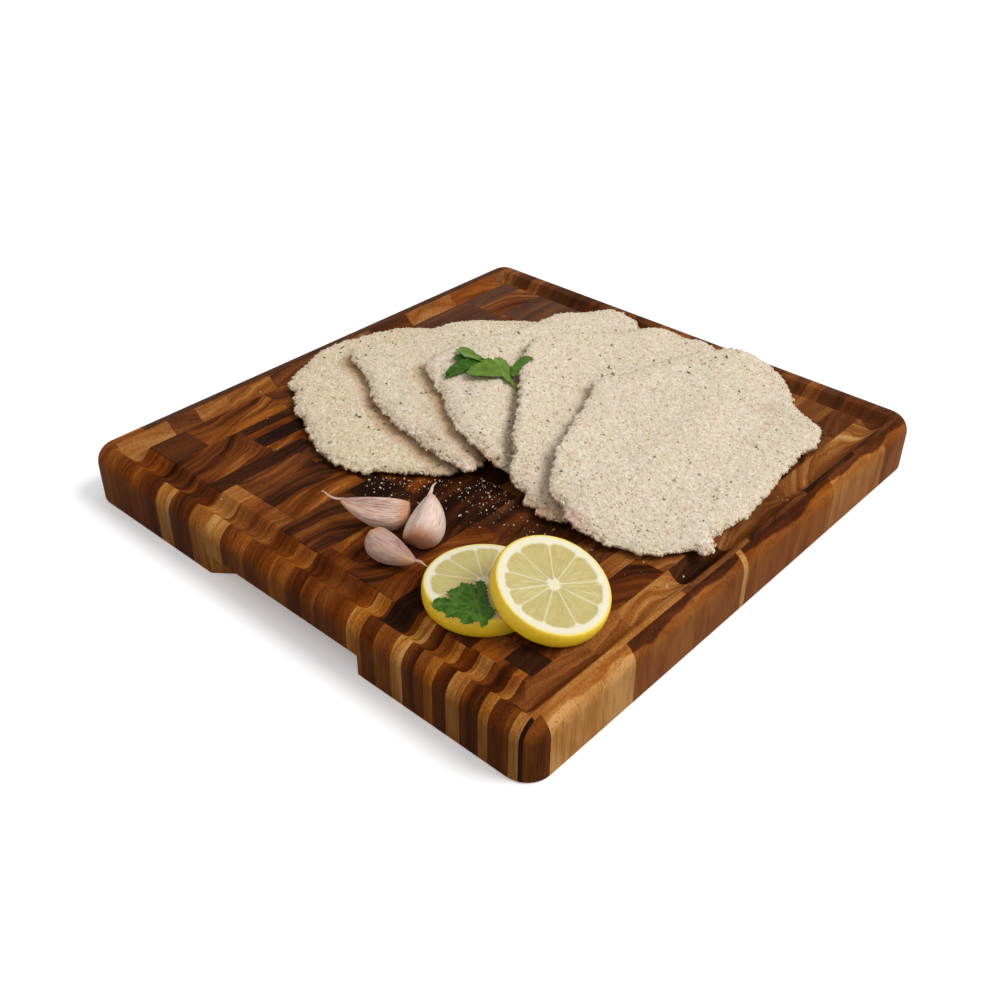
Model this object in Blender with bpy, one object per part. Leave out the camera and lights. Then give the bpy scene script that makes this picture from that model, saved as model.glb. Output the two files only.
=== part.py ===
"""Five breaded raw schnitzels fanned out on an end-grain carving board, with garlic, lemon and parsley.

Metres in Blender, millimetres in the constants below. +Z is up, the origin is the centre of the board's
underside, X runs along the board's gripped sides and Y along its longer, plain sides.
"""

import math

import bmesh
import bpy
import numpy as np
from mathutils import Matrix, Vector

MM = 0.001

# The board.
BOARD_X = 360.0
BOARD_Y = 384.0
BOARD_Z = 38.0
BOARD_CORNER = 15.0  # radius of the upright corners
BULLNOSE = 12.5  # radius of the top edge
FOOT_EDGE = 1.5  # chamfer of the bottom edge
GROOVE_INSET = 21.0  # from the board's side to the middle of the juice groove, before its shift
GROOVE_SHIFT = (3.6, -4.5)  # the groove's rectangle sits nearer to the right and front sides
GROOVE_WIDTH = 15.0
GROOVE_DEPTH = 6.0
GROOVE_STEPS = 6
GRIP_HEIGHT = 14.0  # the finger grip under each X side
GRIP_HALF = 63.0  # half its length at the side
GRIP_HALF_INSIDE = 41.0  # half its length at its back wall
GRIP_REACH = 18.0

# The schnitzels, lowest first. An outline's points go round the cutlet on the board's plan, and a smooth
# curve runs through them.
CLEARANCE = 0.35  # between a piece and what it rests on
SHEET_CLEARANCE = 0.9  # under a cutlet that lies on others, whose facets differ from its own
CUTLET_POINTS = 44  # round the rim
CUTLET_RINGS = (1.0, 0.955, 0.86, 0.68, 0.46, 0.23)  # shares of the way from the middle to the rim
EDGE_ROUND = 9.0  # how far in from the rim the cutlet reaches its full thickness
RIM_LEVEL = 0.42  # height of the rim, as a share of the thickness there
RIM_THIN = 0.74  # thickness at the rim against the middle
SAG_REACH = 13.0  # how far a cutlet bridges the step at the edge of the one below
CELL = 3.0  # cell of the height map that the cutlets are laid on
WAVE_SHARE = 0.07  # how much the thickness varies from place to place, by the thickness
WAVE_LENGTHS = (17.0, 21.0, 40.0)
THICKENING = 30.0  # how far in from the rim the cutlet is at its thickest
MIDDLE_INWARDS = 40.0  # how far in from the rim the middle counts as
CUTLETS = {
    "schnitzel_1": {
        "thickness": 8.5,
        "lift": CLEARANCE,
        "middle": (-82, -35),
        "outline": [(13, -61), (3, -77), (-16, -91), (-35, -106), (-61, -105), (-95, -91), (-116, -80),
                    (-133, -68), (-145, -61), (-148, -52), (-155, -33), (-161, -20), (-159, -3), (-156, 15),
                    (-150, 34), (-134, 53), (-95, 70), (-60, 40), (-20, -10)],
    },
    "schnitzel_2": {
        "thickness": 8.0,
        "lift": SHEET_CLEARANCE,
        "middle": (-62, 5),
        "outline": [(23, -52), (25, -60), (21, -66), (12, -69), (-4, -69), (-24, -65), (-40, -63), (-58, -58),
                    (-74, -50), (-92, -37), (-110, -28), (-127, -24), (-133, -14), (-129, 0), (-121, 18),
                    (-116, 40), (-110, 66), (-103, 90), (-90, 110), (-52, 122), (-24, 70), (4, -15)],
    },
    "schnitzel_3": {
        "thickness": 8.0,
        "lift": SHEET_CLEARANCE,
        "middle": (-25, 45),
        "outline": [(41, -50), (36, -54), (25, -56), (14, -54), (4, -52), (-9, -46), (-25, -36), (-38, -27),
                    (-56, -18), (-71, -9), (-71, 12), (-72, 30), (-66, 46), (-64, 77), (-68, 100), (-66, 140),
                    (-58, 160), (-50, 171), (-38, 171), (-26, 165), (-15, 156), (10, 130), (30, 80), (44, 10)],
    },
    "schnitzel_4": {
        "thickness": 8.5,
        "lift": SHEET_CLEARANCE,
        "middle": (33, 45),
        "outline": [(96, -57), (88, -66), (78, -68), (66, -63), (56, -61), (47, -57), (41, -50), (25, -27),
                    (12, -10), (0, 5), (-13, 20), (-29, 46), (-36, 64), (-31, 84), (-20, 110), (-8, 138),
                    (-4, 158), (3, 170), (15, 168), (26, 176), (38, 170), (64, 150), (88, 105), (102, 50),
                    (106, -10)],
    },
    "schnitzel_5": {
        "thickness": 9.0,
        "lift": SHEET_CLEARANCE,
        "middle": (98, 45),
        "outline": [(164, -36), (157, -38), (150, -46), (143, -56), (126, -61), (107, -68), (89, -63), (77, -58),
                    (68, -48), (61, -35), (54, -19), (46, 4), (36, 30), (25, 48), (34, 72), (39, 100),
                    (42, 127), (50, 158), (60, 174), (74, 176), (90, 168), (106, 156), (119, 139), (134, 129),
                    (149, 123), (155, 103), (152, 88), (157, 60), (161, 33), (164, 10), (160, -14), (166, -26)],
    },
}

# Garlic cloves: the middle of the root end and of the tip (the height is above the board), the widest
# breadth, and the way that the rounded back faces. The other side is a ridge between two flat cheeks.
CLOVE_SIDES = 16
CLOVE_RINGS = 11
CLOVE_LEAN = 0.5  # how far the middle of a section stands off the axis towards the back, by its radius
CLOVE_FULL = 2.24  # makes the widest place of the profile count as 1
CLOVE_ROOT = 0.05  # how blunt the root end is
CLOVE_LENGTH = 0.97  # the profile is cut off just before it comes to a point
CLOVE_TAPER = 0.8
BACK_HALF = math.radians(70)  # how far round from its middle the back stays round
CHEEK_HOLLOW = 0.24  # how far the cheeks lie inside the round section
CLOVES = {
    "garlic_clove_1": {"root": (28, -118, 9), "tip": (-3, -140, 12), "girth": 18.0, "back": (0.25, -0.35, -0.9)},
    "garlic_clove_2": {"root": (44, -132, 5), "tip": (31, -104, 16), "girth": 23.0, "back": (0.8, 0.1, 0.4)},
    "garlic_clove_3": {"root": (29, -144, 11), "tip": (59, -144, 6), "girth": 17.0, "back": (-0.3, -0.8, -0.3)},
}

# Lemon slices: one flat on the board, one leaning on its rim.
LEMON_SIDES = 40
LEMON_PEEL_BULGE = 1.5  # how far the middle of the peel stands out from the cut edges
LEMON_FLAT = {"at": (99.3, -135.7), "radius": 31.8, "thick": 11.2, "tilt": 0.0, "falls_towards": 0.0}
LEMON_LEANING = {"at": (132.6, -123.0), "radius": 31.0, "thick": 10.3, "tilt": 22.0, "falls_towards": 0.0}

# Parsley: a leaf flat on the first lemon slice, and a sprig over the third and fourth schnitzels.
LEAF_THICK = 0.8
LEAF_OUTLINE = [(93.7, -169), (93, -163), (92.5, -157), (93.5, -150), (95, -143.5), (99, -143), (99, -138.5),
                (103.5, -137.8), (107, -141), (114, -147), (120.5, -151), (123.2, -157), (122.6, -163),
                (118.4, -162), (117, -166), (112.5, -167.7), (107, -168.4), (103, -169.3), (97.4, -170.5)]
SPRIG_THICK = 1.2
SPRIG_CLEARANCE = 1.0
SPRIG_REACH = 4.0
SPRIG_OUTLINE = [(3, -3), (-8, 5), (-16, 3), (-20, -5), (-26, -9), (-34, -8), (-41, -16), (-46, -16), (-48, -9),
                 (-44, -1), (-55, 0), (-55, 6), (-60, 10), (-61, 16), (-50, 17), (-38, 15), (-33, 20), (-38, 24),
                 (-37, 29), (-30, 29), (-25, 27), (-24, 33), (-16, 34), (-11, 34), (-9, 28), (-14, 18),
                 (-9, 10), (6, 0)]


def new_object(name, bm, colour, roughness):
    """Turn a bmesh in millimetres into a named object in metres with its own material."""
    bmesh.ops.scale(bm, vec=(MM, MM, MM), verts=bm.verts)
    bmesh.ops.recalc_face_normals(bm, faces=bm.faces)
    mesh = bpy.data.meshes.new(name)
    bm.to_mesh(mesh)
    bm.free()
    mesh.shade_smooth()
    mesh.set_sharp_from_angle(angle=math.radians(40))
    material = bpy.data.materials.new(name)
    material.use_nodes = True
    shader = material.node_tree.nodes["Principled BSDF"]
    shader.inputs["Base Color"].default_value = (*colour, 1.0)
    shader.inputs["Roughness"].default_value = roughness
    mesh.materials.append(material)
    piece = bpy.data.objects.new(name, mesh)
    bpy.context.scene.collection.objects.link(piece)
    return piece


def cut_with(piece, cutter):
    """Cut the piece with a hidden cutter object."""
    cutter.hide_render = True
    cutter.display_type = "WIRE"
    modifier = piece.modifiers.new(cutter.name, "BOOLEAN")
    modifier.operation = "DIFFERENCE"
    modifier.object = cutter


# ---------------------------------------------------------------- the board


def make_board():
    """The slab with its bullnose, its mitred juice groove and its two finger grips."""
    bm = bmesh.new()
    size = Vector((BOARD_X, BOARD_Y, BOARD_Z))
    place = Matrix.Translation((0, 0, BOARD_Z / 2)) @ Matrix.Diagonal((*size, 1))
    bmesh.ops.create_cube(bm, size=1.0, matrix=place)
    upright = [e for e in bm.edges if abs(e.verts[0].co.z - e.verts[1].co.z) > 1]
    bmesh.ops.bevel(bm, geom=upright, offset=BOARD_CORNER, segments=5, profile=0.5, affect="EDGES")
    top = [e for e in bm.edges if all(v.co.z > BOARD_Z - 0.01 for v in e.verts)]
    bmesh.ops.bevel(bm, geom=top, offset=BULLNOSE, segments=6, profile=0.5, affect="EDGES")
    foot = [e for e in bm.edges if all(v.co.z < 0.01 for v in e.verts)]
    bmesh.ops.bevel(bm, geom=foot, offset=FOOT_EDGE, segments=1, affect="EDGES")
    board = new_object("board", bm, (0.22, 0.09, 0.035), 0.45)
    cut_with(board, groove_cutter())
    for side in (-1, 1):
        cut_with(board, grip_cutter(side))
    return board


def groove_section():
    """The groove's cross-section as (offset from its middle, height), with a lid above the board."""
    rise = GROOVE_WIDTH / 2
    radius = (rise * rise + GROOVE_DEPTH * GROOVE_DEPTH) / (2 * GROOVE_DEPTH)
    centre = BOARD_Z - GROOVE_DEPTH + radius
    sweep = math.asin(rise / radius)
    section = []
    for i in range(GROOVE_STEPS + 1):
        angle = -sweep + 2 * sweep * i / GROOVE_STEPS
        section.append((radius * math.sin(angle), centre - radius * math.cos(angle)))
    lid = BOARD_Z + 5.0
    return section + [(rise, lid), (-rise, lid)]


def groove_cutter():
    """The groove's section carried round a rectangle with mitred corners."""
    bm = bmesh.new()
    half_x = BOARD_X / 2 - GROOVE_INSET
    half_y = BOARD_Y / 2 - GROOVE_INSET
    rings = []
    for sx, sy in ((-1, -1), (1, -1), (1, 1), (-1, 1)):
        rings.append([bm.verts.new((sx * (half_x + u) + GROOVE_SHIFT[0], sy * (half_y + u) + GROOVE_SHIFT[1], z))
                      for u, z in groove_section()])
    count = len(rings[0])
    for corner in range(4):
        here, there = rings[corner], rings[(corner + 1) % 4]
        for i in range(count):
            j = (i + 1) % count
            bm.faces.new((here[i], there[i], there[j], here[j]))
    return new_object("groove_cutter", bm, (1, 1, 1), 1.0)


def grip_cutter(side):
    """The wedge-ended hollow under one X side, where the fingers go."""
    bm = bmesh.new()
    face = BOARD_Y / 2
    below = -5.0
    past = 5.0  # how far the cutter stands out of the side
    taper = (GRIP_HALF - GRIP_HALF_INSIDE) / GRIP_REACH
    plan = [(-GRIP_HALF - past * taper, face + past), (GRIP_HALF + past * taper, face + past),
            (GRIP_HALF_INSIDE, face - GRIP_REACH), (-GRIP_HALF_INSIDE, face - GRIP_REACH)]
    low = [bm.verts.new((x, side * y, below)) for x, y in plan]
    high = [bm.verts.new((x, side * y, GRIP_HEIGHT)) for x, y in plan]
    bm.faces.new(low)
    bm.faces.new(high)
    for i in range(4):
        j = (i + 1) % 4
        bm.faces.new((low[i], low[j], high[j], high[i]))
    return new_object("grip_cutter_front" if side < 0 else "grip_cutter_back", bm, (1, 1, 1), 1.0)


# ---------------------------------------------------------------- the schnitzels


def smooth_closed(points, count):
    """A closed Catmull-Rom curve through the points, read at equal steps of its length."""
    p = np.array(points, float)
    fine = []
    for i in range(len(p)):
        a, b, c, d = p[i - 1], p[i], p[(i + 1) % len(p)], p[(i + 2) % len(p)]
        for t in np.linspace(0, 1, 16, endpoint=False):
            fine.append(0.5 * (2 * b + (c - a) * t + (2 * a - 5 * b + 4 * c - d) * t * t
                               + (3 * b - a - 3 * c + d) * t ** 3))
    fine = np.array(fine + fine[:1])
    run = np.concatenate([[0], np.cumsum(np.hypot(*np.diff(fine, axis=0).T))])
    at = np.linspace(0, run[-1], count, endpoint=False)
    return np.stack([np.interp(at, run, fine[:, 0]), np.interp(at, run, fine[:, 1])], axis=1)


class HeightMap:
    """The height of the pile so far, on a grid over the board."""

    def __init__(self):
        self.x = np.arange(-BOARD_X / 2, BOARD_X / 2 + CELL, CELL)
        self.y = np.arange(-BOARD_Y / 2, BOARD_Y / 2 + CELL, CELL)
        self.z = np.full((len(self.x), len(self.y)), BOARD_Z)

    def shifted(self, grid, reach):
        """The grid moved by every step within the reach."""
        n = math.ceil(reach / CELL)
        padded = np.pad(grid, n, mode="edge")
        wide, long = grid.shape
        return [padded[n + i:n + i + wide, n + j:n + j + long]
                for i in range(-n, n + 1) for j in range(-n, n + 1)
                if math.hypot(i, j) * CELL <= reach]

    def draped(self, reach):
        """How a stiff sheet lies over the pile: never lower than it, with steps softened over the reach."""
        highest = np.max(self.shifted(self.z, reach), axis=0)
        return np.mean(self.shifted(highest, reach), axis=0)

    def read(self, grid, x, y):
        """The grid's value at points of the plan, between its cells."""
        u = np.clip((np.asarray(x) - self.x[0]) / CELL, 0, len(self.x) - 1.001)
        v = np.clip((np.asarray(y) - self.y[0]) / CELL, 0, len(self.y) - 1.001)
        i, j = u.astype(int), v.astype(int)
        fu, fv = u - i, v - j
        near = grid[i, j] * (1 - fu) + grid[i + 1, j] * fu
        far = grid[i, j + 1] * (1 - fu) + grid[i + 1, j + 1] * fu
        return near * (1 - fv) + far * fv


def thickness_at(cutlet, x, y, inwards):
    """(height above the sheet's base of its underside, of its top) at a distance in from the rim."""
    near = np.clip(inwards / EDGE_ROUND, 0, 1)
    round_off = np.sqrt(1 - (1 - near) ** 2)
    across, along, slant = WAVE_LENGTHS
    waves = np.sin(x / across + cutlet["thickness"]) * np.cos(y / along - x / slant)
    swell = (1 - RIM_THIN) * np.clip(inwards / THICKENING, 0, 1)
    full = cutlet["thickness"] * (RIM_THIN + swell + WAVE_SHARE * waves)
    return full * RIM_LEVEL * (1 - round_off), full * (RIM_LEVEL + (1 - RIM_LEVEL) * round_off)


def make_cutlet(name, cutlet, pile):
    """One breaded cutlet, laid on the pile, which it then adds to."""
    middle = np.array(cutlet["middle"], float)
    rim = smooth_closed(cutlet["outline"], CUTLET_POINTS)
    base = pile.draped(SAG_REACH)
    lift = cutlet["lift"]

    bm = bmesh.new()
    tops, unders = [], []
    for share in CUTLET_RINGS:
        ring = middle + (rim - middle) * share
        inwards = (1 - share) * np.hypot(*(rim - middle).T)
        floor = pile.read(base, ring[:, 0], ring[:, 1]) + lift
        low, high = thickness_at(cutlet, ring[:, 0], ring[:, 1], inwards)
        tops.append([bm.verts.new((*p, z)) for p, z in zip(ring, floor + high)])
        if share == 1.0:
            unders.append(tops[0])
        else:
            unders.append([bm.verts.new((*p, z)) for p, z in zip(ring, floor + low)])
    floor = float(pile.read(base, *middle)) + lift
    low, high = thickness_at(cutlet, middle[0], middle[1], MIDDLE_INWARDS)
    for rings, height in ((tops, high), (unders, low)):
        for outer, inner in zip(rings, rings[1:]):
            for i in range(CUTLET_POINTS):
                j = (i + 1) % CUTLET_POINTS
                bm.faces.new((outer[i], outer[j], inner[j], inner[i]))
        hub = bm.verts.new((*middle, floor + float(height)))
        for i in range(CUTLET_POINTS):
            bm.faces.new((rings[-1][i], rings[-1][(i + 1) % CUTLET_POINTS], hub))
    add_to_pile(cutlet, middle, rim, base + lift, pile)
    return new_object(name, bm, (0.66, 0.55, 0.42), 0.95)


def add_to_pile(cutlet, middle, rim, floor, pile):
    """Raise the height map by the cutlet that was laid on it."""
    x, y = np.meshgrid(pile.x, pile.y, indexing="ij")
    out = np.hypot(x - middle[0], y - middle[1])
    turn = np.arctan2(y - middle[1], x - middle[0])
    rim_turn = np.arctan2(rim[:, 1] - middle[1], rim[:, 0] - middle[0])
    rim_out = np.hypot(*(rim - middle).T)
    order = np.argsort(rim_turn)
    reach = np.interp(turn, rim_turn[order], rim_out[order], period=2 * math.pi)
    inwards = reach - out
    top = floor + thickness_at(cutlet, x, y, inwards)[1]
    pile.z = np.where(inwards > -CELL, np.maximum(pile.z, top), pile.z)


# ---------------------------------------------------------------- garlic, lemon, parsley


def clove_breadth(along):
    """Breadth of a clove, as a share of its widest, from its root end (0) to its tip (1)."""
    along = along * CLOVE_LENGTH
    return CLOVE_FULL * math.sqrt(along + CLOVE_ROOT) * (1 - along) ** CLOVE_TAPER


def clove_section(turn):
    """Radius of a clove's cross-section at an angle from its back, which is round, to its ridge."""
    cheek = min(max((abs(turn) - BACK_HALF) / (math.pi - BACK_HALF), 0.0), 1.0)
    return 1 - CHEEK_HOLLOW * math.sin(math.pi * cheek) ** 2


def make_clove(name, clove):
    """A clove lofted from its blunt root end to its tip, its back bulging away from the straight ridge."""
    root, tip = Vector(clove["root"]), Vector(clove["tip"])
    along_axis = (tip - root).normalized()
    back = Vector(clove["back"])
    back = (back - along_axis * back.dot(along_axis)).normalized()
    side = along_axis.cross(back)
    bm = bmesh.new()
    rings = []
    for i in range(CLOVE_RINGS):
        along = i / (CLOVE_RINGS - 1)
        radius = clove["girth"] / 2 * clove_breadth(along)
        centre = root.lerp(tip, along) + back * radius * CLOVE_LEAN
        ring = []
        for k in range(CLOVE_SIDES):
            turn = 2 * math.pi * k / CLOVE_SIDES - math.pi
            reach = radius * clove_section(turn)
            ring.append(bm.verts.new(centre + back * reach * math.cos(turn) + side * reach * math.sin(turn)))
        rings.append(ring)
    for here, there in zip(rings, rings[1:]):
        for k in range(CLOVE_SIDES):
            j = (k + 1) % CLOVE_SIDES
            bm.faces.new((here[k], here[j], there[j], there[k]))
    bm.faces.new(rings[0])
    bm.faces.new(rings[-1])
    rest_on_board(bm)
    return new_object(name, bm, (0.75, 0.58, 0.50), 0.4)


def rest_on_board(bm):
    """Move a shape up or down until its lowest point is just above the board."""
    drop = BOARD_Z + CLEARANCE - min(v.co.z for v in bm.verts)
    bmesh.ops.translate(bm, vec=(0, 0, drop), verts=bm.verts)


def make_lemon_slice(name, lemon):
    """A slice with its rounded peel, resting on the lowest point of its rim."""
    bm = bmesh.new()
    rings = []
    for i in range(5):
        height = lemon["thick"] * (0.5 - i / 4)
        bulge = math.sqrt(1 - (2 * height / lemon["thick"]) ** 2)
        radius = lemon["radius"] - LEMON_PEEL_BULGE * (1 - bulge)
        ring = []
        for k in range(LEMON_SIDES):
            angle = 2 * math.pi * k / LEMON_SIDES
            ring.append(bm.verts.new((radius * math.cos(angle), radius * math.sin(angle), height)))
        rings.append(ring)
    for here, there in zip(rings, rings[1:]):
        for k in range(LEMON_SIDES):
            j = (k + 1) % LEMON_SIDES
            bm.faces.new((here[k], here[j], there[j], there[k]))
    bm.faces.new(rings[0])
    bm.faces.new(rings[-1])
    way = math.radians(lemon["falls_towards"])
    tilt = Matrix.Rotation(math.radians(lemon["tilt"]), 4, Vector((-math.sin(way), math.cos(way), 0)))
    bmesh.ops.transform(bm, matrix=Matrix.Translation((*lemon["at"], 0)) @ tilt, verts=bm.verts)
    rest_on_board(bm)
    return new_object(name, bm, (0.80, 0.66, 0.12), 0.35)


def make_herb(name, outline, heights, thick):
    """A thin piece of parsley: an outline on the plan, with the height of its underside at each point."""
    bm = bmesh.new()
    under = [bm.verts.new((x, y, z)) for (x, y), z in zip(outline, heights)]
    over = [bm.verts.new((x, y, z + thick)) for (x, y), z in zip(outline, heights)]
    for ring in (under, over):
        edges = [bm.edges.new((ring[i - 1], ring[i])) for i in range(len(ring))]
        bmesh.ops.triangle_fill(bm, edges=edges, use_beauty=True)
    for i in range(len(outline)):
        bm.faces.new((under[i - 1], under[i], over[i], over[i - 1]))
    return new_object(name, bm, (0.06, 0.20, 0.02), 0.5)


def clear_scene():
    """Remove whatever objects the file holds."""
    for old in list(bpy.data.objects):
        bpy.data.objects.remove(old, do_unlink=True)


def main():
    clear_scene()
    make_board()
    pile = HeightMap()
    for name, cutlet in CUTLETS.items():
        make_cutlet(name, cutlet, pile)
    for name, clove in CLOVES.items():
        make_clove(name, clove)
    make_lemon_slice("lemon_slice_1", LEMON_FLAT)
    make_lemon_slice("lemon_slice_2", LEMON_LEANING)
    on_lemon = BOARD_Z + CLEARANCE + LEMON_FLAT["thick"] + CLEARANCE
    make_herb("parsley_leaf", LEAF_OUTLINE, [on_lemon] * len(LEAF_OUTLINE), LEAF_THICK)
    x, y = zip(*SPRIG_OUTLINE)
    on_cutlets = pile.read(pile.draped(SPRIG_REACH), x, y) + SPRIG_CLEARANCE
    make_herb("parsley_sprig", SPRIG_OUTLINE, on_cutlets, SPRIG_THICK)


main()
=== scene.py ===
"""Schnitzel platter: raw breaded schnitzels on an end-grain carving board, with garlic, lemon and parsley.

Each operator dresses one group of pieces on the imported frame. Sizes in the panel are in metres, and the
sizes in the module's own tables are in millimetres.
"""

import math

import bmesh
import bpy
import numpy as np
from mathutils import Matrix, Vector, noise
from mathutils.bvhtree import BVHTree


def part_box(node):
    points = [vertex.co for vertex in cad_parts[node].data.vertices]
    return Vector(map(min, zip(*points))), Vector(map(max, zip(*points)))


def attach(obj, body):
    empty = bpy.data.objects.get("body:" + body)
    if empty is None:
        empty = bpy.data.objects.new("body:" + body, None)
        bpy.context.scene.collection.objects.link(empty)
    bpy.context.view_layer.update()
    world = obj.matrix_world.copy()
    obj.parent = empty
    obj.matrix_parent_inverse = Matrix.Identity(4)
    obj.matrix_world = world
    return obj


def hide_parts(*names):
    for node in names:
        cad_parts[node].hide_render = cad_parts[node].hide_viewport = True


bl_info = {
    "name": "Schnitzel platter",
    "version": (1, 0, 0),
    "blender": (4, 5, 0),
    "location": "View3D > Sidebar > Platter",
    "description": "Raw breaded schnitzels on an end-grain carving board",
    "category": "Object",
}

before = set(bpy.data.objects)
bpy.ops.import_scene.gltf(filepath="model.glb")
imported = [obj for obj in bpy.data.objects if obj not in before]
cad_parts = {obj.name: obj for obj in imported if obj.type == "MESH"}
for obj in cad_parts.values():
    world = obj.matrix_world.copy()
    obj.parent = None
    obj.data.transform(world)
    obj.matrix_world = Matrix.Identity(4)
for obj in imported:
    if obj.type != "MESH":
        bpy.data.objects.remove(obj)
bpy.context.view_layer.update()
MM = 0.001
CUTLETS = ["schnitzel_%d" % i for i in range(1, 6)]
CLOVES = ["garlic_clove_%d" % i for i in range(1, 4)]
BOARD_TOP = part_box("board")[1].z


# ---------------------------------------------------------------- colours, nodes and meshes


def srgb(red, green, blue):
    """A linear colour from 0-255 display values."""
    def linear(value):
        value /= 255
        return value / 12.92 if value <= 0.04045 else ((value + 0.055) / 1.055) ** 2.4
    return (linear(red), linear(green), linear(blue))


class Value:
    """A socket of a node tree; Python's operators on it add Math nodes."""

    def __init__(self, nodes, socket):
        self.nodes = nodes
        self.socket = socket

    def math(self, operation, *others):
        return self.nodes.node("ShaderNodeMath", {"operation": operation}, [self, *others])

    def __add__(self, other):
        return self.math("ADD", other)

    def __radd__(self, other):
        return self.math("ADD", other)

    def __sub__(self, other):
        return self.math("SUBTRACT", other)

    def __rsub__(self, other):
        return self.nodes.node("ShaderNodeMath", {"operation": "SUBTRACT"}, [other, self])

    def __mul__(self, other):
        return self.math("MULTIPLY", other)

    def __rmul__(self, other):
        return self.math("MULTIPLY", other)

    def __truediv__(self, other):
        return self.math("DIVIDE", other)

    def __rtruediv__(self, other):
        return self.nodes.node("ShaderNodeMath", {"operation": "DIVIDE"}, [other, self])

    def __pow__(self, other):
        return self.math("POWER", other)

    def clamped(self):
        return self.nodes.node("ShaderNodeClamp", {}, [self])

    def between(self, low, high):
        """0 below low, 1 above high and smooth in between."""
        return self.nodes.node("ShaderNodeMapRange", {"interpolation_type": "SMOOTHSTEP"}, [self, low, high])


class Nodes:
    """Builds the nodes of one material or one Geometry Nodes tree."""

    def __init__(self, tree):
        self.tree = tree

    def node(self, kind, settings, inputs, output=0):
        """Add a node: its settings first, then its sockets' values or links, by order or by name."""
        new = self.tree.nodes.new(kind)
        for name, value in settings.items():
            if name == "stops":
                self.set_stops(new.color_ramp, value)
            else:
                setattr(new, name, value)
        pairs = inputs.items() if isinstance(inputs, dict) else enumerate(inputs)
        for key, value in pairs:
            self.feed(new.inputs[key], value)
        return Value(self, new.outputs[output])

    def feed(self, socket, value):
        """Link a Value to a socket, or set a plain number or colour on it."""
        if isinstance(value, Value):
            self.tree.links.new(value.socket, socket)
        elif socket.type == "RGBA":
            socket.default_value = (*value[:3], 1.0)
        else:
            socket.default_value = value

    def set_stops(self, ramp, stops):
        """Give a colour ramp its (position, colour) stops."""
        while len(ramp.elements) < len(stops):
            ramp.elements.new(0.5)
        for element, (position, colour) in zip(ramp.elements, stops):
            element.position = position
            element.color = (*colour, 1.0)

    def attribute(self, name, output="Fac"):
        return self.node("ShaderNodeAttribute", {"attribute_name": name}, {}, output)

    def place(self):
        """Where the point is on the object, in metres."""
        return self.node("ShaderNodeTexCoord", {}, {}, "Object")

    def noise(self, vector, scale, detail=2.0, rough=0.5, distortion=0.0):
        inputs = {"Vector": vector, "Scale": scale, "Detail": detail, "Roughness": rough, "Distortion": distortion}
        return self.node("ShaderNodeTexNoise", {}, inputs, 0)

    def stretched(self, vector, scale):
        return self.node("ShaderNodeVectorMath", {"operation": "MULTIPLY"}, [vector, scale])

    def mix(self, factor, first, second, blend="MIX"):
        settings = {"data_type": "RGBA", "blend_type": blend, "clamp_factor": True}
        return self.node("ShaderNodeMix", settings, {0: factor, 6: first, 7: second}, 2)

    def bump(self, height, distance, strength=1.0):
        return self.node("ShaderNodeBump", {}, {"Height": height, "Distance": distance, "Strength": strength})


def new_material(name, fixed):
    """A material with its Principled shader, whose unchanging values are in fixed."""
    material = bpy.data.materials.new(name)
    material.use_nodes = True
    shader = material.node_tree.nodes["Principled BSDF"]
    for socket, value in fixed.items():
        shader.inputs[socket].default_value = value
    return material, Nodes(material.node_tree), shader


def shade(nodes, shader, **links):
    """Link worked-out values to the shader's sockets; an underscore stands for a space."""
    for name, value in links.items():
        nodes.feed(shader.inputs[name.replace("_", " ")], value)


def new_tree(name, sizes):
    """A Geometry Nodes tree with a geometry and named sizes going in, and geometry coming out."""
    tree = bpy.data.node_groups.new(name, "GeometryNodeTree")
    tree.interface.new_socket("Geometry", in_out="OUTPUT", socket_type="NodeSocketGeometry")
    tree.interface.new_socket("Geometry", in_out="INPUT", socket_type="NodeSocketGeometry")
    for label, kind in sizes.items():
        tree.interface.new_socket(label, in_out="INPUT", socket_type=kind)
    nodes = Nodes(tree)
    group_in = tree.nodes.new("NodeGroupInput")
    return tree, nodes, {s.name: Value(nodes, s) for s in group_in.outputs if s.name}


def end_tree(nodes, geometry, material):
    """Close a tree the way that the export needs: realized, and with its material set."""
    real = nodes.node("GeometryNodeRealizeInstances", {}, [geometry])
    painted = nodes.node("GeometryNodeSetMaterial", {}, {"Geometry": real, "Material": material})
    group_out = nodes.tree.nodes.new("NodeGroupOutput")
    nodes.tree.links.new(painted.socket, group_out.inputs[0])


def run_tree(piece, tree, values):
    """Run a tree on a piece with its named inputs set, and leave the piece a plain mesh."""
    modifier = piece.modifiers.new(tree.name, "NODES")
    modifier.node_group = tree
    for item in tree.interface.items_tree:
        if item.item_type == "SOCKET" and item.in_out == "INPUT" and item.name in values:
            modifier[item.identifier] = values[item.name]
    apply_modifiers(piece)


def apply_modifiers(piece):
    """Replace a piece's mesh by what its modifiers make of it."""
    graph = bpy.context.evaluated_depsgraph_get()
    graph.update()
    made = bpy.data.meshes.new_from_object(piece.evaluated_get(graph), preserve_all_data_layers=True, depsgraph=graph)
    piece.modifiers.clear()
    old = piece.data
    piece.data = made
    bpy.data.meshes.remove(old)


def new_piece(name, mesh, materials=()):
    """An object at the origin for a mesh that already has its place."""
    piece = bpy.data.objects.new(name, mesh)
    bpy.context.scene.collection.objects.link(piece)
    for material in materials:
        mesh.materials.append(material)
    return piece


def mesh_from(name, points, faces):
    """A smooth mesh from arrays of points in metres and faces of one size or several."""
    mesh = bpy.data.meshes.new(name)
    mesh.from_pydata([tuple(p) for p in points], [], [tuple(f) for f in faces])
    mesh.shade_smooth()
    return mesh


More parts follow.
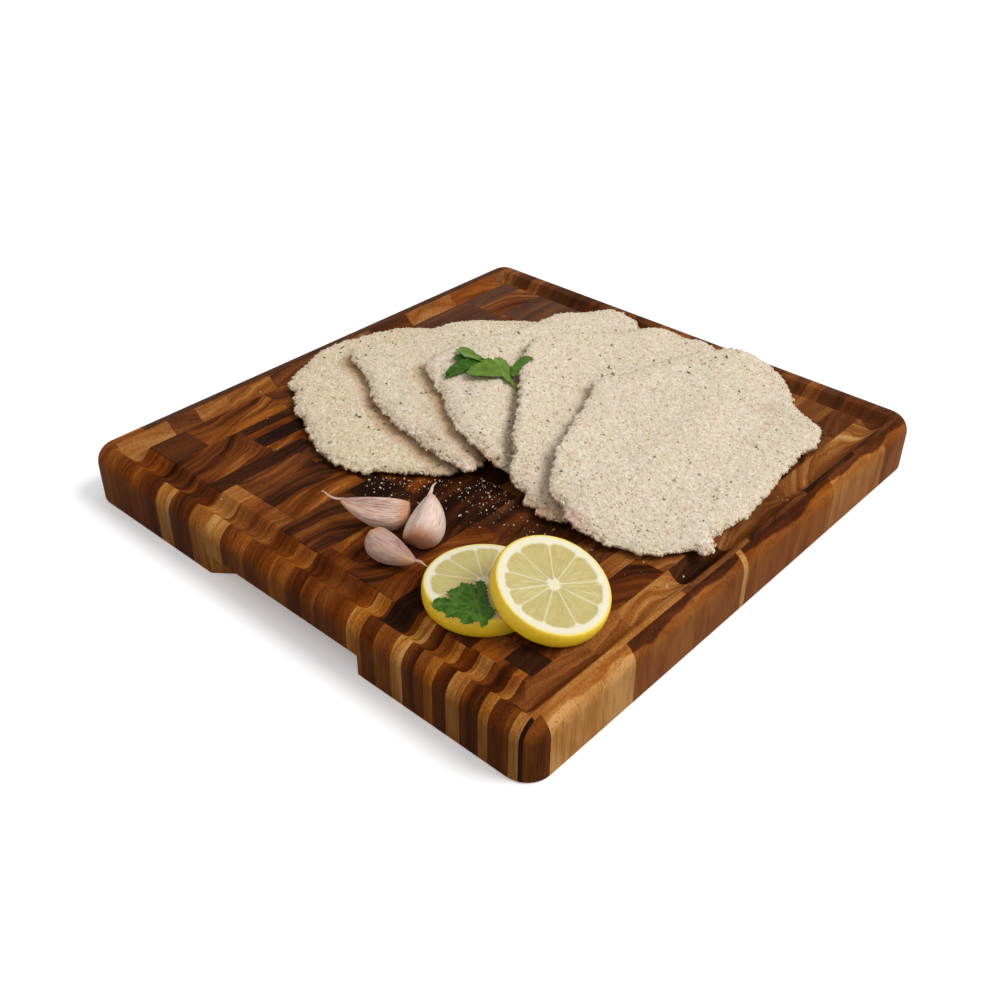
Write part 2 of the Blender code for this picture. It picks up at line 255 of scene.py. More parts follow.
def set_attribute(mesh, name, kind, values, domain="POINT"):
    """Store an attribute from an array."""
    layer = mesh.attributes.new(name, kind, domain)
    layer.data.foreach_set("vector" if kind == "FLOAT_VECTOR" else "value", np.ravel(values).astype(np.float32))


def coordinates(mesh):
    """The mesh's points as an array."""
    flat = np.empty(len(mesh.vertices) * 3, np.float32)
    mesh.vertices.foreach_get("co", flat)
    return flat.reshape(-1, 3).astype(float)


def merged_copy(node):
    """A CAD node's mesh as a new, joined-up mesh."""
    bm = bmesh.new()
    bm.from_mesh(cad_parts[node].data)
    bmesh.ops.remove_doubles(bm, verts=bm.verts, dist=0.00001)
    bmesh.ops.recalc_face_normals(bm, faces=bm.faces)
    mesh = bpy.data.meshes.new(node + "_copy")
    bm.to_mesh(mesh)
    bm.free()
    return mesh


def trees_of(nodes):
    """Search trees for the solids that something is laid on."""
    meshes = [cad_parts[node].data for node in nodes]
    return [BVHTree.FromPolygons([v.co for v in m.vertices], [p.vertices for p in m.polygons]) for m in meshes]


def top_height(trees, x, y):
    """Height of the topmost solid at a place, in metres, or the board's top."""
    best = BOARD_TOP
    for tree in trees:
        hit = tree.ray_cast(Vector((x, y, 1.0)), Vector((0, 0, -1)))[0]
        if hit is not None:
            best = max(best, hit.z)
    return best


def finish_piece(piece, slot, *nodes):
    """Put a piece on the root body and hide the CAD nodes it stands for; slot, its finish, is not used."""
    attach(piece, "root")
    if nodes:
        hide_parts(*nodes)


# ---------------------------------------------------------------- the board

# Sizes shared with the solids.
BOARD_CORNER = 15.0
BULLNOSE = 12.5
FOOT_EDGE = 1.5
GROOVE_INSET = 21.0
GROOVE_WIDTH = 15.0
GROOVE_DEPTH = 6.0
GROOVE_SHIFT = (3.6, -4.5)
GROOVE_LIP = 0.9  # how far past its width the groove's rounded lips reach
GRIP_HEIGHT = 14.0
GRIP_HALF = 63.0
GRIP_HALF_INSIDE = 41.0
GRIP_REACH = 18.0

# The wood is glued up from upright blocks. Along the front, each is (where it ends, lightness from 0 to 1).
FRONT_ROW_END = -158.0
FRONT_STRIPS = [(-170, 0.60), (-158, 0.66), (-146, 0.52), (-137, 0.46), (-126, 0.62), (-109, 0.42), (-96, 0.80),
                (-86, 0.38), (-77, 0.46), (-62, 0.74), (-48, 0.82), (-38, 0.50), (-28, 0.62), (-17, 0.42),
                (-6, 0.54), (8, 0.68), (20, 0.44), (31, 0.54), (42, 0.38), (56, 0.50), (66, 0.76),
                (76, 0.44), (88, 0.54), (96, 0.86), (104, 0.36), (111, 0.50), (117, 0.78), (126, 0.40),
                (135, 0.82), (147, 0.32), (153, 0.80), (166, 0.46), (171, 0.88)]
# Behind them, slices of laminated wood: (x from, x to, glue lines across it, narrowest and widest block).
SLICES = [
    (-181, -148, (-178, -140, -118, -98, -62, -22, 20, 62, 118, 148, 166), (40, 50), 0.50, 0.2),
    (-148, -120, (-140, -84, -30, 24, 78, 132), (14, 24), 0.40, 0.6),
    (-120, -94, (-119, -62, -6, 50, 106, 160), (12, 22), 0.40, 0.6),
    (-94, -25, (-106, -52, 4, 60, 116, 172), (14, 26), 0.40, 0.5),
    (-25, 62, (-130, -74, -18, 38, 94, 150), (14, 28), 0.34, 0.5),
    (62, 104, (-112, -56, 0, 56, 112, 168), (12, 22), 0.44, 0.7),
    (104, 155, (-150, -92, -36, 20, 76, 132), (14, 22), 0.54, 0.6),
    (155, 169.5, (-140, -108, -58, -10, 44, 98, 150), (16, 20), 0.56, 0.6),
    (169.5, 173, (-112, -60, 0, 62, 120), (5, 6), 0.34, 0.5),
]
RIGHT_BAND_START = 173.0
# Each is (where it ends, lightness, how much darker its upper edge is).
RIGHT_BLOCKS = [(-178, 0.50, 0.0), (-113, 0.90, 0.16), (-60, 0.68, 0.36), (-14.5, 0.66, 0.36), (-10, 0.90, 0.1),
                (36, 0.64, 0.34), (85, 0.68, 0.34), (128, 0.86, 0.38), (150, 0.80, 0.4), (193, 0.62, 0.3)]
# Blocks with a look of their own: (x from, x to, y from, y to, lightness, redness, contrast, how far off its
# pith lies, which bows its rings).
BLOCKS = [
    (-181, -165.5, -158, 193, 0.32, -0.15, 0.5, 200), (-165.5, -147, -180, -143, 0.78, 0.35, 0.45, 180),
    (-165.5, -147, -143, -122, 0.44, 0.30, 0.6, 160), (-165.5, -147, -122, -98, 0.72, 0.45, 0.9, 120),
    (-165.5, -147, -98, -62, 0.58, 0.60, 1.1, 90), (-165.5, -147, 30, 66, 0.42, 0.3, 0.7, 120),
    (-165.5, -147, 66, 112, 0.72, 0.5, 0.7, 160), (-165.5, -147, 112, 163, 0.60, 0.7, 0.9, 90),
    (-147, -122, -168, -142, 0.33, 0.35, 0.35, -140), (-147, -130, -142, -80, 0.50, 0.75, 1.3, -60),
    (-130, -122, -142, -80, 0.56, 0.85, 0.7, 90), (-122, -114, -120, -78, 0.20, 0.4, 0.8, 60),
    (-114, -108, -120, -78, 0.60, 0.95, 0.5, 60), (-108, -96, -120, -78, 0.10, 0.1, 0.4, 60),
    (-96, -84, -118, -78, 0.56, 0.95, 0.8, 60), (-122, -88, -182, -120, 0.42, 0.70, 1.6, -52),
    (-88, -76, -168, -98, 0.22, 0.4, 0.9, -80), (-76, -60, -157, -110, 0.42, 0.50, 1.0, -50),
    (-60, -42, -157, -108, 0.34, 0.45, 1.2, 64), (-42, -24, -157, -104, 0.55, 0.8, 1.0, 80),
    (-76, -59, -182, -157, 0.74, 0.55, 0.5, 200), (-59, -41, -182, -157, 0.64, 0.6, 0.9, 90),
    (-41, -24, -182, -157, 0.60, 0.6, 1.0, 110), (-24, 10, -168, -118, 0.38, 0.55, 1.3, 56),
    (-24, 5, -118, -94, 0.14, 0.2, 0.6, 60), (-24, 6, -94, -60, 0.46, 1.0, 1.5, 44),
    (10, 32, -160, -118, 0.50, 0.85, 1.1, 70), (32, 52, -168, -98, 0.34, 0.65, 1.3, -56),
    (6, 52, -98, -56, 0.24, 0.55, 0.8, 90), (52, 68, -168, -90, 0.48, 0.8, 1.2, 58),
    (68, 84, -182, -128, 0.14, 0.3, 1.0, 60), (104, 120, -168, -150, 0.40, 0.8, 0.9, 90),
    (120, 137, -167, -156, 0.64, 0.95, 0.4, 140), (137, 155, -163, -148, 0.14, 0.3, 0.5, 100),
    (137, 155, -148, -56, 0.46, 0.75, 1.0, 80), (155, 169.5, -178, -125, 0.52, 0.5, 0.8, 130),
    (155, 169.5, -125, -97, 0.68, 0.5, 0.8, 90), (155, 169.5, -97, -52, 0.78, 0.6, 1.1, 36),
    (155, 169.5, -52, -12, 0.34, 0.3, 0.8, 60), (155, 169.5, -12, 58, 0.60, 0.3, 0.9, 120),
    (155, 169.5, 58, 160, 0.76, 0.4, 1.1, 60), (169.5, 173, -182, -62, 0.80, 0.7, 0.4, 160),
    (118, 138, 136, 158, 0.60, 0.3, 0.3, 120), (138, 155, 126, 158, 0.46, 0.3, 0.6, 90),
    (-147, -132, 92, 160, 0.40, -0.35, 0.6, 120), (-132, -112, 112, 158, 0.52, 0.3, 1.2, 36),
    (-147, -100, 60, 112, 0.34, -0.2, 0.7, 120), (-112, -60, 116, 160, 0.34, -0.3, 0.7, 120),
]
BACK_ROW_START = 160.0
# Where juice has soaked in and darkened the wood, with painted shade beside the meat: (x, y, radius).
DAMP_AND_SHADE_PATCHES = [(35, -78, 40), (-14, -98, 26), (-60, -106, 20), (-104, -94, 20), (70, -70, 30), (118, 60, 60)]


class BoardSettings(bpy.types.PropertyGroup):
    ring_width: bpy.props.FloatProperty(
        name="Ring width", description="Width of the wood's broad growth bands", default=0.0042, unit="LENGTH")
    wear: bpy.props.FloatProperty(
        name="Gloss", description="Roughness of the oiled top", default=0.5, subtype="FACTOR", min=0, max=1)
    seed: bpy.props.IntProperty(name="Seed", description="Picks another set of blocks", default=4)


def groove_section():
    """The juice groove's cross-section as (offset from its middle, height), with a lid above the board."""
    reach = GROOVE_WIDTH / 2 + GROOVE_LIP
    top = BOARD_TOP / MM
    steps = 24
    section = []
    for i in range(steps + 1):
        offset = reach * (2 * i / steps - 1)
        depth = GROOVE_DEPTH * max(math.cos(math.pi / 2 * offset / reach), 0) ** 1.25
        section.append((offset, top + 0.02 - depth))
    return section + [(reach, top + 5), (-reach, top + 5)]


def cutter_from_rings(name, rings):
    """A closed cutter whose rings of points follow each other round a loop."""
    bm = bmesh.new()
    loops = [[bm.verts.new(Vector(p) * MM) for p in ring] for ring in rings]
    for here, there in zip(loops, loops[1:] + loops[:1]):
        for i in range(len(here)):
            bm.faces.new((here[i - 1], here[i], there[i], there[i - 1]))
    return finish_cutter(name, bm)


def finish_cutter(name, bm):
    bmesh.ops.recalc_face_normals(bm, faces=bm.faces)
    mesh = bpy.data.meshes.new(name)
    bm.to_mesh(mesh)
    bm.free()
    return new_piece(name, mesh)


def grip_cutter(side, half_length):
    """The wedge-ended hollow under one side."""
    bm = bmesh.new()
    past = 5.0
    taper = (GRIP_HALF - GRIP_HALF_INSIDE) / GRIP_REACH
    plan = [(-GRIP_HALF - past * taper, half_length + past), (GRIP_HALF + past * taper, half_length + past),
            (GRIP_HALF_INSIDE, half_length - GRIP_REACH), (-GRIP_HALF_INSIDE, half_length - GRIP_REACH)]
    low = [bm.verts.new(Vector((x, side * y, -5.0)) * MM) for x, y in plan]
    high = [bm.verts.new(Vector((x, side * y, GRIP_HEIGHT)) * MM) for x, y in plan]
    bm.faces.new(low)
    bm.faces.new(high)
    for i in range(4):
        bm.faces.new((low[i - 1], low[i], high[i], high[i - 1]))
    return finish_cutter("grip_cutter", bm)


def board_body():
    """The slab with its fine bullnose, groove and grips, before it is cut into blocks."""
    low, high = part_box("board")
    size = high - low
    bm = bmesh.new()
    place = Matrix.Translation((low + high) / 2) @ Matrix.Diagonal((*size, 1))
    bmesh.ops.create_cube(bm, size=1.0, matrix=place)
    upright = [e for e in bm.edges if abs(e.verts[0].co.z - e.verts[1].co.z) > size.z / 2]
    bmesh.ops.bevel(bm, geom=upright, offset=BOARD_CORNER * MM, segments=10, profile=0.5, affect="EDGES")
    top = [e for e in bm.edges if all(v.co.z > high.z - MM for v in e.verts)]
    bmesh.ops.bevel(bm, geom=top, offset=BULLNOSE * MM, segments=12, profile=0.5, affect="EDGES")
    foot = [e for e in bm.edges if all(v.co.z < low.z + 0.1 * MM for v in e.verts)]
    bmesh.ops.bevel(bm, geom=foot, offset=FOOT_EDGE * MM, segments=3, profile=0.5, affect="EDGES")
    mesh = bpy.data.meshes.new("carving_board")
    bm.to_mesh(mesh)
    bm.free()
    board = new_piece("carving_board", mesh)

    half_x, half_y = size.x / MM / 2, size.y / MM / 2
    corners = ((-1, -1), (1, -1), (1, 1), (-1, 1))
    groove = cutter_from_rings("groove_cutter", [
        [(sx * (half_x - GROOVE_INSET + u) + GROOVE_SHIFT[0], sy * (half_y - GROOVE_INSET + u) + GROOVE_SHIFT[1], z)
         for u, z in groove_section()]
        for sx, sy in corners])
    cutters = [groove, grip_cutter(-1, half_y), grip_cutter(1, half_y)]
    for cutter in cutters:
        modifier = board.modifiers.new("cut", "BOOLEAN")
        modifier.operation = "DIFFERENCE"
        modifier.object = cutter
    apply_modifiers(board)
    for cutter in cutters:
        bpy.data.objects.remove(cutter, do_unlink=True)
    return board


def block_layout(seed):
    """Every glued block, in millimetres: (x from, x to, y from, y to, lightness, redness, contrast, pith)."""
    rng = np.random.default_rng(seed)
    low, high = (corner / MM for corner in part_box("board"))
    blocks = []
    start = low.x - 1
    for end, light in FRONT_STRIPS:
        blocks.append((start, end, low.y - 1, FRONT_ROW_END, light, rng.uniform(0.6, 1.1), 0.8, far_pith(rng, 90)))
        start = end
    start = low.y - 1
    for end, light, darker in RIGHT_BLOCKS:
        blocks.append((RIGHT_BAND_START, high.x + 1, start, end, light, rng.uniform(0.55, 0.9), 0.6,
                       far_pith(rng, 130)))
        start = end
    for left, right, lines, widths, light, redness in SLICES:
        ends = [y for y in lines if y > FRONT_ROW_END] + [high.y + 1]
        start = FRONT_ROW_END
        for end in ends:
            x = left
            while x < right:
                nearly = x + rng.uniform(*widths)
                across = right if nearly > right - widths[0] else nearly
                tone = light + rng.choice((-0.13, 0.0, 0.13)) + rng.uniform(-0.05, 0.05)
                blocks.append((x, across, start, end, tone, redness + rng.uniform(-0.45, 0.1), 1.0,
                               far_pith(rng, 45)))
                x = across
            start = end
    x = -147.0
    while x < 155:
        across = x + rng.uniform(8, 17)
        blocks.append((x, min(across, 155), BACK_ROW_START, high.y + 1, rng.choice((0.30, 0.38, 0.46, 0.62)),
                       rng.uniform(0.1, 0.5), 0.5, far_pith(rng, 160)))
        x = across
    return blocks + BLOCKS


def far_pith(rng, nearest):
    """How far to one side of a block its rings have their middle."""
    return rng.uniform(nearest, nearest * 2.5) * rng.choice((-1, 1))


def cut_along(bm, axis, at, low, high):
    """Cut the faces that reach between two limits on the other axis with a plane across an axis."""
    other = 1 - axis
    slack = 0.01 * MM
    faces = [f for f in bm.faces
             if min(v.co[axis] for v in f.verts) < at - slack and max(v.co[axis] for v in f.verts) > at + slack
             and min(v.co[other] for v in f.verts) < high - slack and max(v.co[other] for v in f.verts) > low + slack]
    parts = set(faces)
    for face in faces:
        parts.update(face.edges)
        parts.update(face.verts)
    normal = Vector((1, 0, 0)) if axis == 0 else Vector((0, 1, 0))
    bmesh.ops.bisect_plane(bm, geom=list(parts), dist=1e-7, plane_co=normal * at, plane_no=normal)


def cut_into_blocks(board, blocks, seed):
    """Cut the board's faces along the glue lines and store each block's wood on its faces."""
    bm = bmesh.new()
    bm.from_mesh(board.data)
    cut_along(bm, 1, FRONT_ROW_END * MM, -1, RIGHT_BAND_START * MM)
    cut_along(bm, 0, RIGHT_BAND_START * MM, -1, 1)
    for left, right, lines, widths, light, redness in SLICES:
        cut_along(bm, 0, right * MM, FRONT_ROW_END * MM, 1)
        for at in lines:
            if at > FRONT_ROW_END:
                cut_along(bm, 1, at * MM, left * MM, right * MM)
    for x0, x1, y0, y1 in (block[:4] for block in blocks):
        for at in (y0, y1):
            cut_along(bm, 1, at * MM, x0 * MM, x1 * MM)
        for at in (x0, x1):
            cut_along(bm, 0, at * MM, y0 * MM, y1 * MM)
    bm.to_mesh(board.data)
    bm.free()

    mesh = board.data
    rng = np.random.default_rng(seed)
    count = len(mesh.polygons)
    centres = np.array([tuple(p.center) for p in mesh.polygons]) / MM
    wood = np.zeros((count, 3))
    pith = np.zeros((count, 3))
    pattern = np.zeros((count, 3))
    for x0, x1, y0, y1, light, redness, contrast, away in blocks:
        inside = (centres[:, 0] > x0) & (centres[:, 0] < x1) & (centres[:, 1] > y0) & (centres[:, 1] < y1)
        wood[inside] = (light, redness, 0)
        pith[inside] = ((x0 + x1) / 2 + away, (y0 + y1) / 2 + rng.uniform(-20, 20), 0)
        pattern[inside] = (rng.uniform(0, 100), rng.uniform(0.8, 1.3), contrast)
    arc = np.zeros(count)
    start = -1000
    for end, light, darker in RIGHT_BLOCKS:
        arc[(centres[:, 0] > RIGHT_BAND_START) & (centres[:, 1] > start) & (centres[:, 1] < end)] = darker
        start = end
    set_attribute(mesh, "arc", "FLOAT", arc, "FACE")
    set_attribute(mesh, "wood", "FLOAT_VECTOR", wood, "FACE")
    set_attribute(mesh, "pith", "FLOAT_VECTOR", pith * MM, "FACE")
    set_attribute(mesh, "pattern", "FLOAT_VECTOR", pattern, "FACE")


def damp_and_shade_mask(n, place):
    """Soft-edged patches where the wood is darker with juice, and with painted shade beside the meat."""
    total = None
    wander = n.noise(place, 60.0, 3.0, 0.6)
    for x, y, radius in DAMP_AND_SHADE_PATCHES:
        away = n.node("ShaderNodeVectorMath", {"operation": "DISTANCE"}, [place, (x * MM, y * MM, BOARD_TOP)],
                      "Value")
        patch = ((radius * MM - away) / (radius * MM) + (wander - 0.5) * 0.9).between(0.0, 0.55)
        total = patch if total is None else total.math("MAXIMUM", patch)
    return total


def wood_material(settings):
    """Oiled end grain: rings round each block's pith, flame-like streaks, upright fibres and open pores, and painted
    shade on the upright sides, most on the -Y side.
    """
    material, n, shader = new_material("oiled_end_grain", {"Specular IOR Level": 0.01})
    place = n.place()
    split = n.node("ShaderNodeSeparateXYZ", {}, [place]).socket.node.outputs
    x, y, z = (Value(n, socket) for socket in split[:3])
    wood = n.node("ShaderNodeSeparateXYZ", {}, [n.attribute("wood", "Vector")]).socket.node.outputs
    light, redness = Value(n, wood[0]), Value(n, wood[1])
    pattern = n.node("ShaderNodeSeparateXYZ", {}, [n.attribute("pattern", "Vector")]).socket.node.outputs
    seed, width, contrast = (Value(n, socket) for socket in pattern)

    lean = n.node("ShaderNodeCombineXYZ", {}, [z * 0.05, z * -0.04, z * -1.0])
    flat = n.node("ShaderNodeVectorMath", {"operation": "ADD"}, [place, lean])
    shift = n.node("ShaderNodeCombineXYZ", {}, [seed, seed * 0.37, 0.0])
    shifted = n.node("ShaderNodeVectorMath", {"operation": "ADD"}, [flat, shift])
    warp = n.noise(shifted, 24.0, 2.0, 0.45)
    small_warp = n.noise(shifted, 150.0, 2.0, 0.5)
    offset = n.node("ShaderNodeVectorMath", {"operation": "SUBTRACT"}, [flat, n.attribute("pith", "Vector")])
    distance = n.node("ShaderNodeVectorMath", {"operation": "LENGTH"}, [offset], "Value")
    distance = distance + (warp - 0.5) * 0.013 + (small_warp - 0.5) * 0.0012
    rings = distance / settings.ring_width / width
    broad = n.noise(n.node("ShaderNodeCombineXYZ", {}, [rings * 0.55, y * 12.0, seed]), 1.0, 2.0, 0.5)
    bands = n.noise(n.node("ShaderNodeCombineXYZ", {}, [rings * 1.5, y * 14.0, seed + 9.0]), 1.0, 3.0, 0.65)
    lines = n.noise(n.node("ShaderNodeCombineXYZ", {}, [rings * 4.2, y * 18.0, seed + 5.0]), 1.0, 2.0, 0.6)
    fibre = n.noise(n.stretched(place, (1.0, 1.0, 0.045)), 800.0, 3.0, 0.6)
    pores = n.noise(n.stretched(place, (1.0, 1.0, 0.03)), 1500.0, 1.0, 0.5)
    tone = (broad - 0.5) * 1.25 + (bands - 0.5) * 0.60 + (lines - 0.5) * 0.50
    wander = n.noise(n.node("ShaderNodeCombineXYZ", {}, [0.0, y * 34.0, z * 20.0]), 1.0, 2.0, 0.5)
    arc = (0.1772 - x + (wander - 0.5) * 0.009).between(0.0, 0.0012) * n.attribute("arc")
    upright = n.attribute("upright")
    blotches = n.noise(n.stretched(place, (1.0, 1.0, 0.22)), 95.0, 3.0, 0.6)
    tone = tone * contrast * (0.84 - upright * 0.4) + (blotches - 0.5) * upright * 0.6
    # juice stains, partly painted shade beside the meat
    tone = light + tone + (fibre - 0.5) * 0.28 - damp_and_shade_mask(n, place) * 0.14 - arc
    tone = tone.clamped()
    brown = n.node("ShaderNodeValToRGB", {"stops": [
        (0.00, srgb(34, 18, 12)), (0.15, srgb(52, 29, 18)), (0.30, srgb(73, 41, 23)), (0.45, srgb(95, 54, 29)),
        (0.60, srgb(118, 71, 37)), (0.74, srgb(142, 92, 50)), (0.87, srgb(164, 116, 70)),
        (1.00, srgb(190, 146, 94))]}, [tone])
    orange = n.node("ShaderNodeValToRGB", {"stops": [
        (0.00, srgb(34, 13, 6)), (0.15, srgb(52, 23, 9)), (0.30, srgb(74, 32, 10)), (0.45, srgb(98, 45, 12)),
        (0.60, srgb(124, 62, 16)), (0.74, srgb(149, 84, 24)), (0.87, srgb(172, 112, 48)),
        (1.00, srgb(194, 142, 82))]}, [tone])
    colour = n.mix(redness.clamped(), brown, orange)
    colour = n.mix((0.0 - redness).clamped(), colour, srgb(98, 72, 60))
    colour = n.mix((0.40 - pores).between(0.0, 0.12) * 0.5, colour, srgb(32, 16, 9))
    # painted shade: the upright sides are darkened, most on the -Y side that faces away from the key light
    colour = n.mix(upright * 0.60, colour, srgb(30, 13, 0))
    height = bands * 0.5 + fibre * 0.5
    shade(n, shader, Base_Color=colour, Roughness=settings.wear + (fibre - 0.5) * 0.3,
          Normal=n.bump(height, 0.00035, 0.55))
    return material


class PLATTER_OT_board(bpy.types.Operator):
    """Make the carving board from glued blocks, with its groove and grips"""
    bl_idname = "platter.board"
    bl_label = "Carving board"

    def execute(self, context):
        settings = context.scene.platter_board
        board = board_body()
        cut_into_blocks(board, block_layout(settings.seed), settings.seed)
        board.data.materials.append(wood_material(settings))
        for polygon in board.data.polygons:
            polygon.material_index = 0
        board.data.shade_smooth()
        board.data.set_sharp_from_angle(angle=math.radians(32))
        # how upright each face is, weighted for painted shade: the -Y sides, away from the key light, get the full
        # share
        upright = [max(1 - 1.6 * abs(p.normal.z), 0) * (1.0 if p.normal.y < -0.3 else 0.6)
                   for p in board.data.polygons]
        set_attribute(board.data, "upright", "FLOAT", upright, "FACE")
        finish_piece(board, "wood", "board")
        return {"FINISHED"}


# ---------------------------------------------------------------- the schnitzels


class BreadingSettings(bpy.types.PropertyGroup):
    cell: bpy.props.FloatProperty(
        name="Surface cell", description="Size of the faces of the coated surface", default=0.00079, unit="LENGTH")
    grain: bpy.props.FloatProperty(
        name="Grain", description="Size of the crumbs in the coat", default=0.0016, unit="LENGTH")
    grain_height: bpy.props.FloatProperty(
        name="Grain height", description="How far the crumbs in the coat stand out", default=0.00095, unit="LENGTH")
    lump: bpy.props.FloatProperty(
        name="Lump", description="Size of the soft lumps in the meat", default=0.013, unit="LENGTH")
    lump_height: bpy.props.FloatProperty(
        name="Lump height", description="Height of the soft lumps", default=0.0015, unit="LENGTH")
    density: bpy.props.FloatProperty(
        name="Loose crumbs", description="Crumbs on top of the coat, for each square metre", default=280000.0)
    cream: bpy.props.FloatVectorProperty(
        name="Cream", description="Colour of the crumbs", subtype="COLOR", default=srgb(219, 205, 184))
    toast: bpy.props.FloatVectorProperty(
        name="Tan", description="Colour of the darker crumbs", subtype="COLOR", default=srgb(210, 190, 154))


# Marks on the coats as (x, y, radius, strength), in millimetres: browned spots, and bare pink meat.
BROWN_MARKS = [(-74, -50, 3.0, 1.0), (-60, -57, 4.0, 0.5), (31, -54, 5.0, 0.9), (20, -52, 5.0, 0.5), (80, -66, 8.0, 0.9),
               (90, -66, 6.0, 0.8), (66, -62, 6.0, 0.5), (162, 72, 5.0, 0.35), (115, 116, 6.0, 0.4),
               (-12, -62, 9.0, 0.35), (89, 111, 1.3, 0.6), (94, 109, 1.1, 0.8), (99, 107.5, 1.3, 0.6),
               (104, 106, 1.0, 0.8), (110, 104, 1.3, 0.6), (48, -22, 2.0, 0.5), (52, -30, 2.2, 0.5)]
PINK_MARKS = [(14, -64, 9.0, 0.5), (103, -64, 6.0, 0.9), (96, -66, 5.0, 0.6), (60, -55, 8.0, 0.35),
              (-8, 150, 8.0, 0.4), (12, 164, 7.0, 0.4), (-105, 70, 8.0, 0.3), (-30, -66, 6.0, 0.5),
              (-138, -2, 9.0, 0.35), (-10, 128, 10.0, 0.25)]


# Nicks and lobes in the cutlets' edges as (x, y, radius, push in x, push in y), in millimetres.
EDGE_NICKS = {
    "schnitzel_5": [(161, -18, 4.0, -3.5, 1.0), (166, -27, 5.0, 2.2, -0.5), (159, -37, 4.0, -0.5, 4.5),
                    (164, -36, 4.0, 1.8, -1.6), (122, -66, 5.0, 0.0, -1.5), (88, -62, 5.0, -1.0, 2.0)],
    "schnitzel_1": [(-139, -64, 4.5, -2.6, -2.2), (-129, -70, 4.0, 1.8, 1.5), (-100, -88, 5.0, 1.2, 1.4),
                    (-60, -100, 6.0, -0.6, -1.8), (-30, -94, 5.0, 0.5, 1.6)],
    "schnitzel_2": [(-70, -50, 5.0, -0.8, -1.6), (-50, -60, 4.0, 0.6, 1.5), (18, -62, 6.0, 0.8, -1.0)],
    "schnitzel_3": [(-44, -14, 4.0, 0.8, 1.2), (0, -44, 5.0, -0.8, -1.2)],
    "schnitzel_4": [(30, -30, 5.0, -1.6, -0.4), (50, -56, 5.0, -1.0, -1.6), (96, -62, 4.0, 0.0, -1.5),
                    (58, -60, 3.0, 0.8, 2.4), (70, -64, 3.0, 0.2, 2.6), (64, -63, 3.0, 0.0, -1.6),
                    (40, -46, 3.0, 1.6, 1.4), (80, -68, 3.0, 0.0, 2.0)],
}
# How much duller each coat is than the top one's.
# Painted shade beside a fold, under the edge of a cutlet that lies on top: how strong it is, and the power it fades
# with.
FOLD_SHADE = {"schnitzel_1": (0.9, 0.7), "schnitzel_2": (0.9, 0.7), "schnitzel_3": (0.55, 0.8), "schnitzel_4": (0.55, 0.8),
            "schnitzel_5": (0.0, 1.0)}
DULLNESS = {"schnitzel_1": 0.85, "schnitzel_2": 0.3, "schnitzel_3": 0.0, "schnitzel_4": 0.05, "schnitzel_5": 0.0}


def nick_edges(mesh, nicks):
    """Push a cutlet's edge in or out round each nick or lobe."""
    points = coordinates(mesh)
    for x, y, radius, push_x, push_y in nicks:
        near = np.exp(-((points[:, 0] / MM - x) ** 2 + (points[:, 1] / MM - y) ** 2) / radius ** 2)
        points[:, 0] += near * push_x * MM
        points[:, 1] += near * push_y * MM
    mesh.vertices.foreach_set("co", points.astype(np.float32).ravel())
    mesh.update()


def coat_mesh(node, cell):
    """A cutlet's solid as an even, closed surface of small faces."""
    piece = new_piece("coat_of_" + node, merged_copy(node))
    smooth = piece.modifiers.new("smooth", "SUBSURF")
    smooth.levels = 2
    smooth.render_levels = 2
    even = piece.modifiers.new("even", "REMESH")
    even.mode = "VOXEL"
    even.voxel_size = cell
    soften = piece.modifiers.new("soften", "SMOOTH")
    soften.factor = 0.5
    soften.iterations = 6
    apply_modifiers(piece)
    return piece


def open_share(points, covers):
    """1 where a point has open air above it and 0 where another cutlet lies over it."""
    up = Vector((0, 0, 1))
    result = np.ones(len(points))
    for cover in covers:
        low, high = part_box(cover)
        tree = trees_of([cover])[0]
        near = np.nonzero((points[:, 0] > low.x) & (points[:, 0] < high.x)
                          & (points[:, 1] > low.y) & (points[:, 1] < high.y))[0]
        for i in near:
            if result[i] and tree.ray_cast(Vector(points[i]) + up * 0.3 * MM, up)[0] is not None:
                result[i] = 0.0
    return result


def fold_shade_share(points, covers):
    """How much painted fold shade a point gets: 1 right beside the edge of a cutlet that lies on top, fading out a
    little way off.
    """
    reach = 9 * MM
    result = np.zeros(len(points))
    for cover in covers:
        low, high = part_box(cover)
        tree = trees_of([cover])[0]
        near = np.nonzero((points[:, 0] > low.x - reach) & (points[:, 0] < high.x + reach)
                          & (points[:, 1] > low.y - reach) & (points[:, 1] < high.y + reach))[0]
        for i in near:
            away = tree.find_nearest(Vector(points[i]), reach)[3]
            if away is not None:
                result[i] = max(result[i], 1 - away / reach)
    return result


def marks_at(points, marks):
    """How strongly the marks show at each point."""
    total = np.zeros(len(points))
    for x, y, radius, strength in marks:
        away = np.hypot(points[:, 0] / MM - x, points[:, 1] / MM - y)
        total += strength * np.exp(-(away / radius) ** 2)
    return np.clip(total, 0, 1)


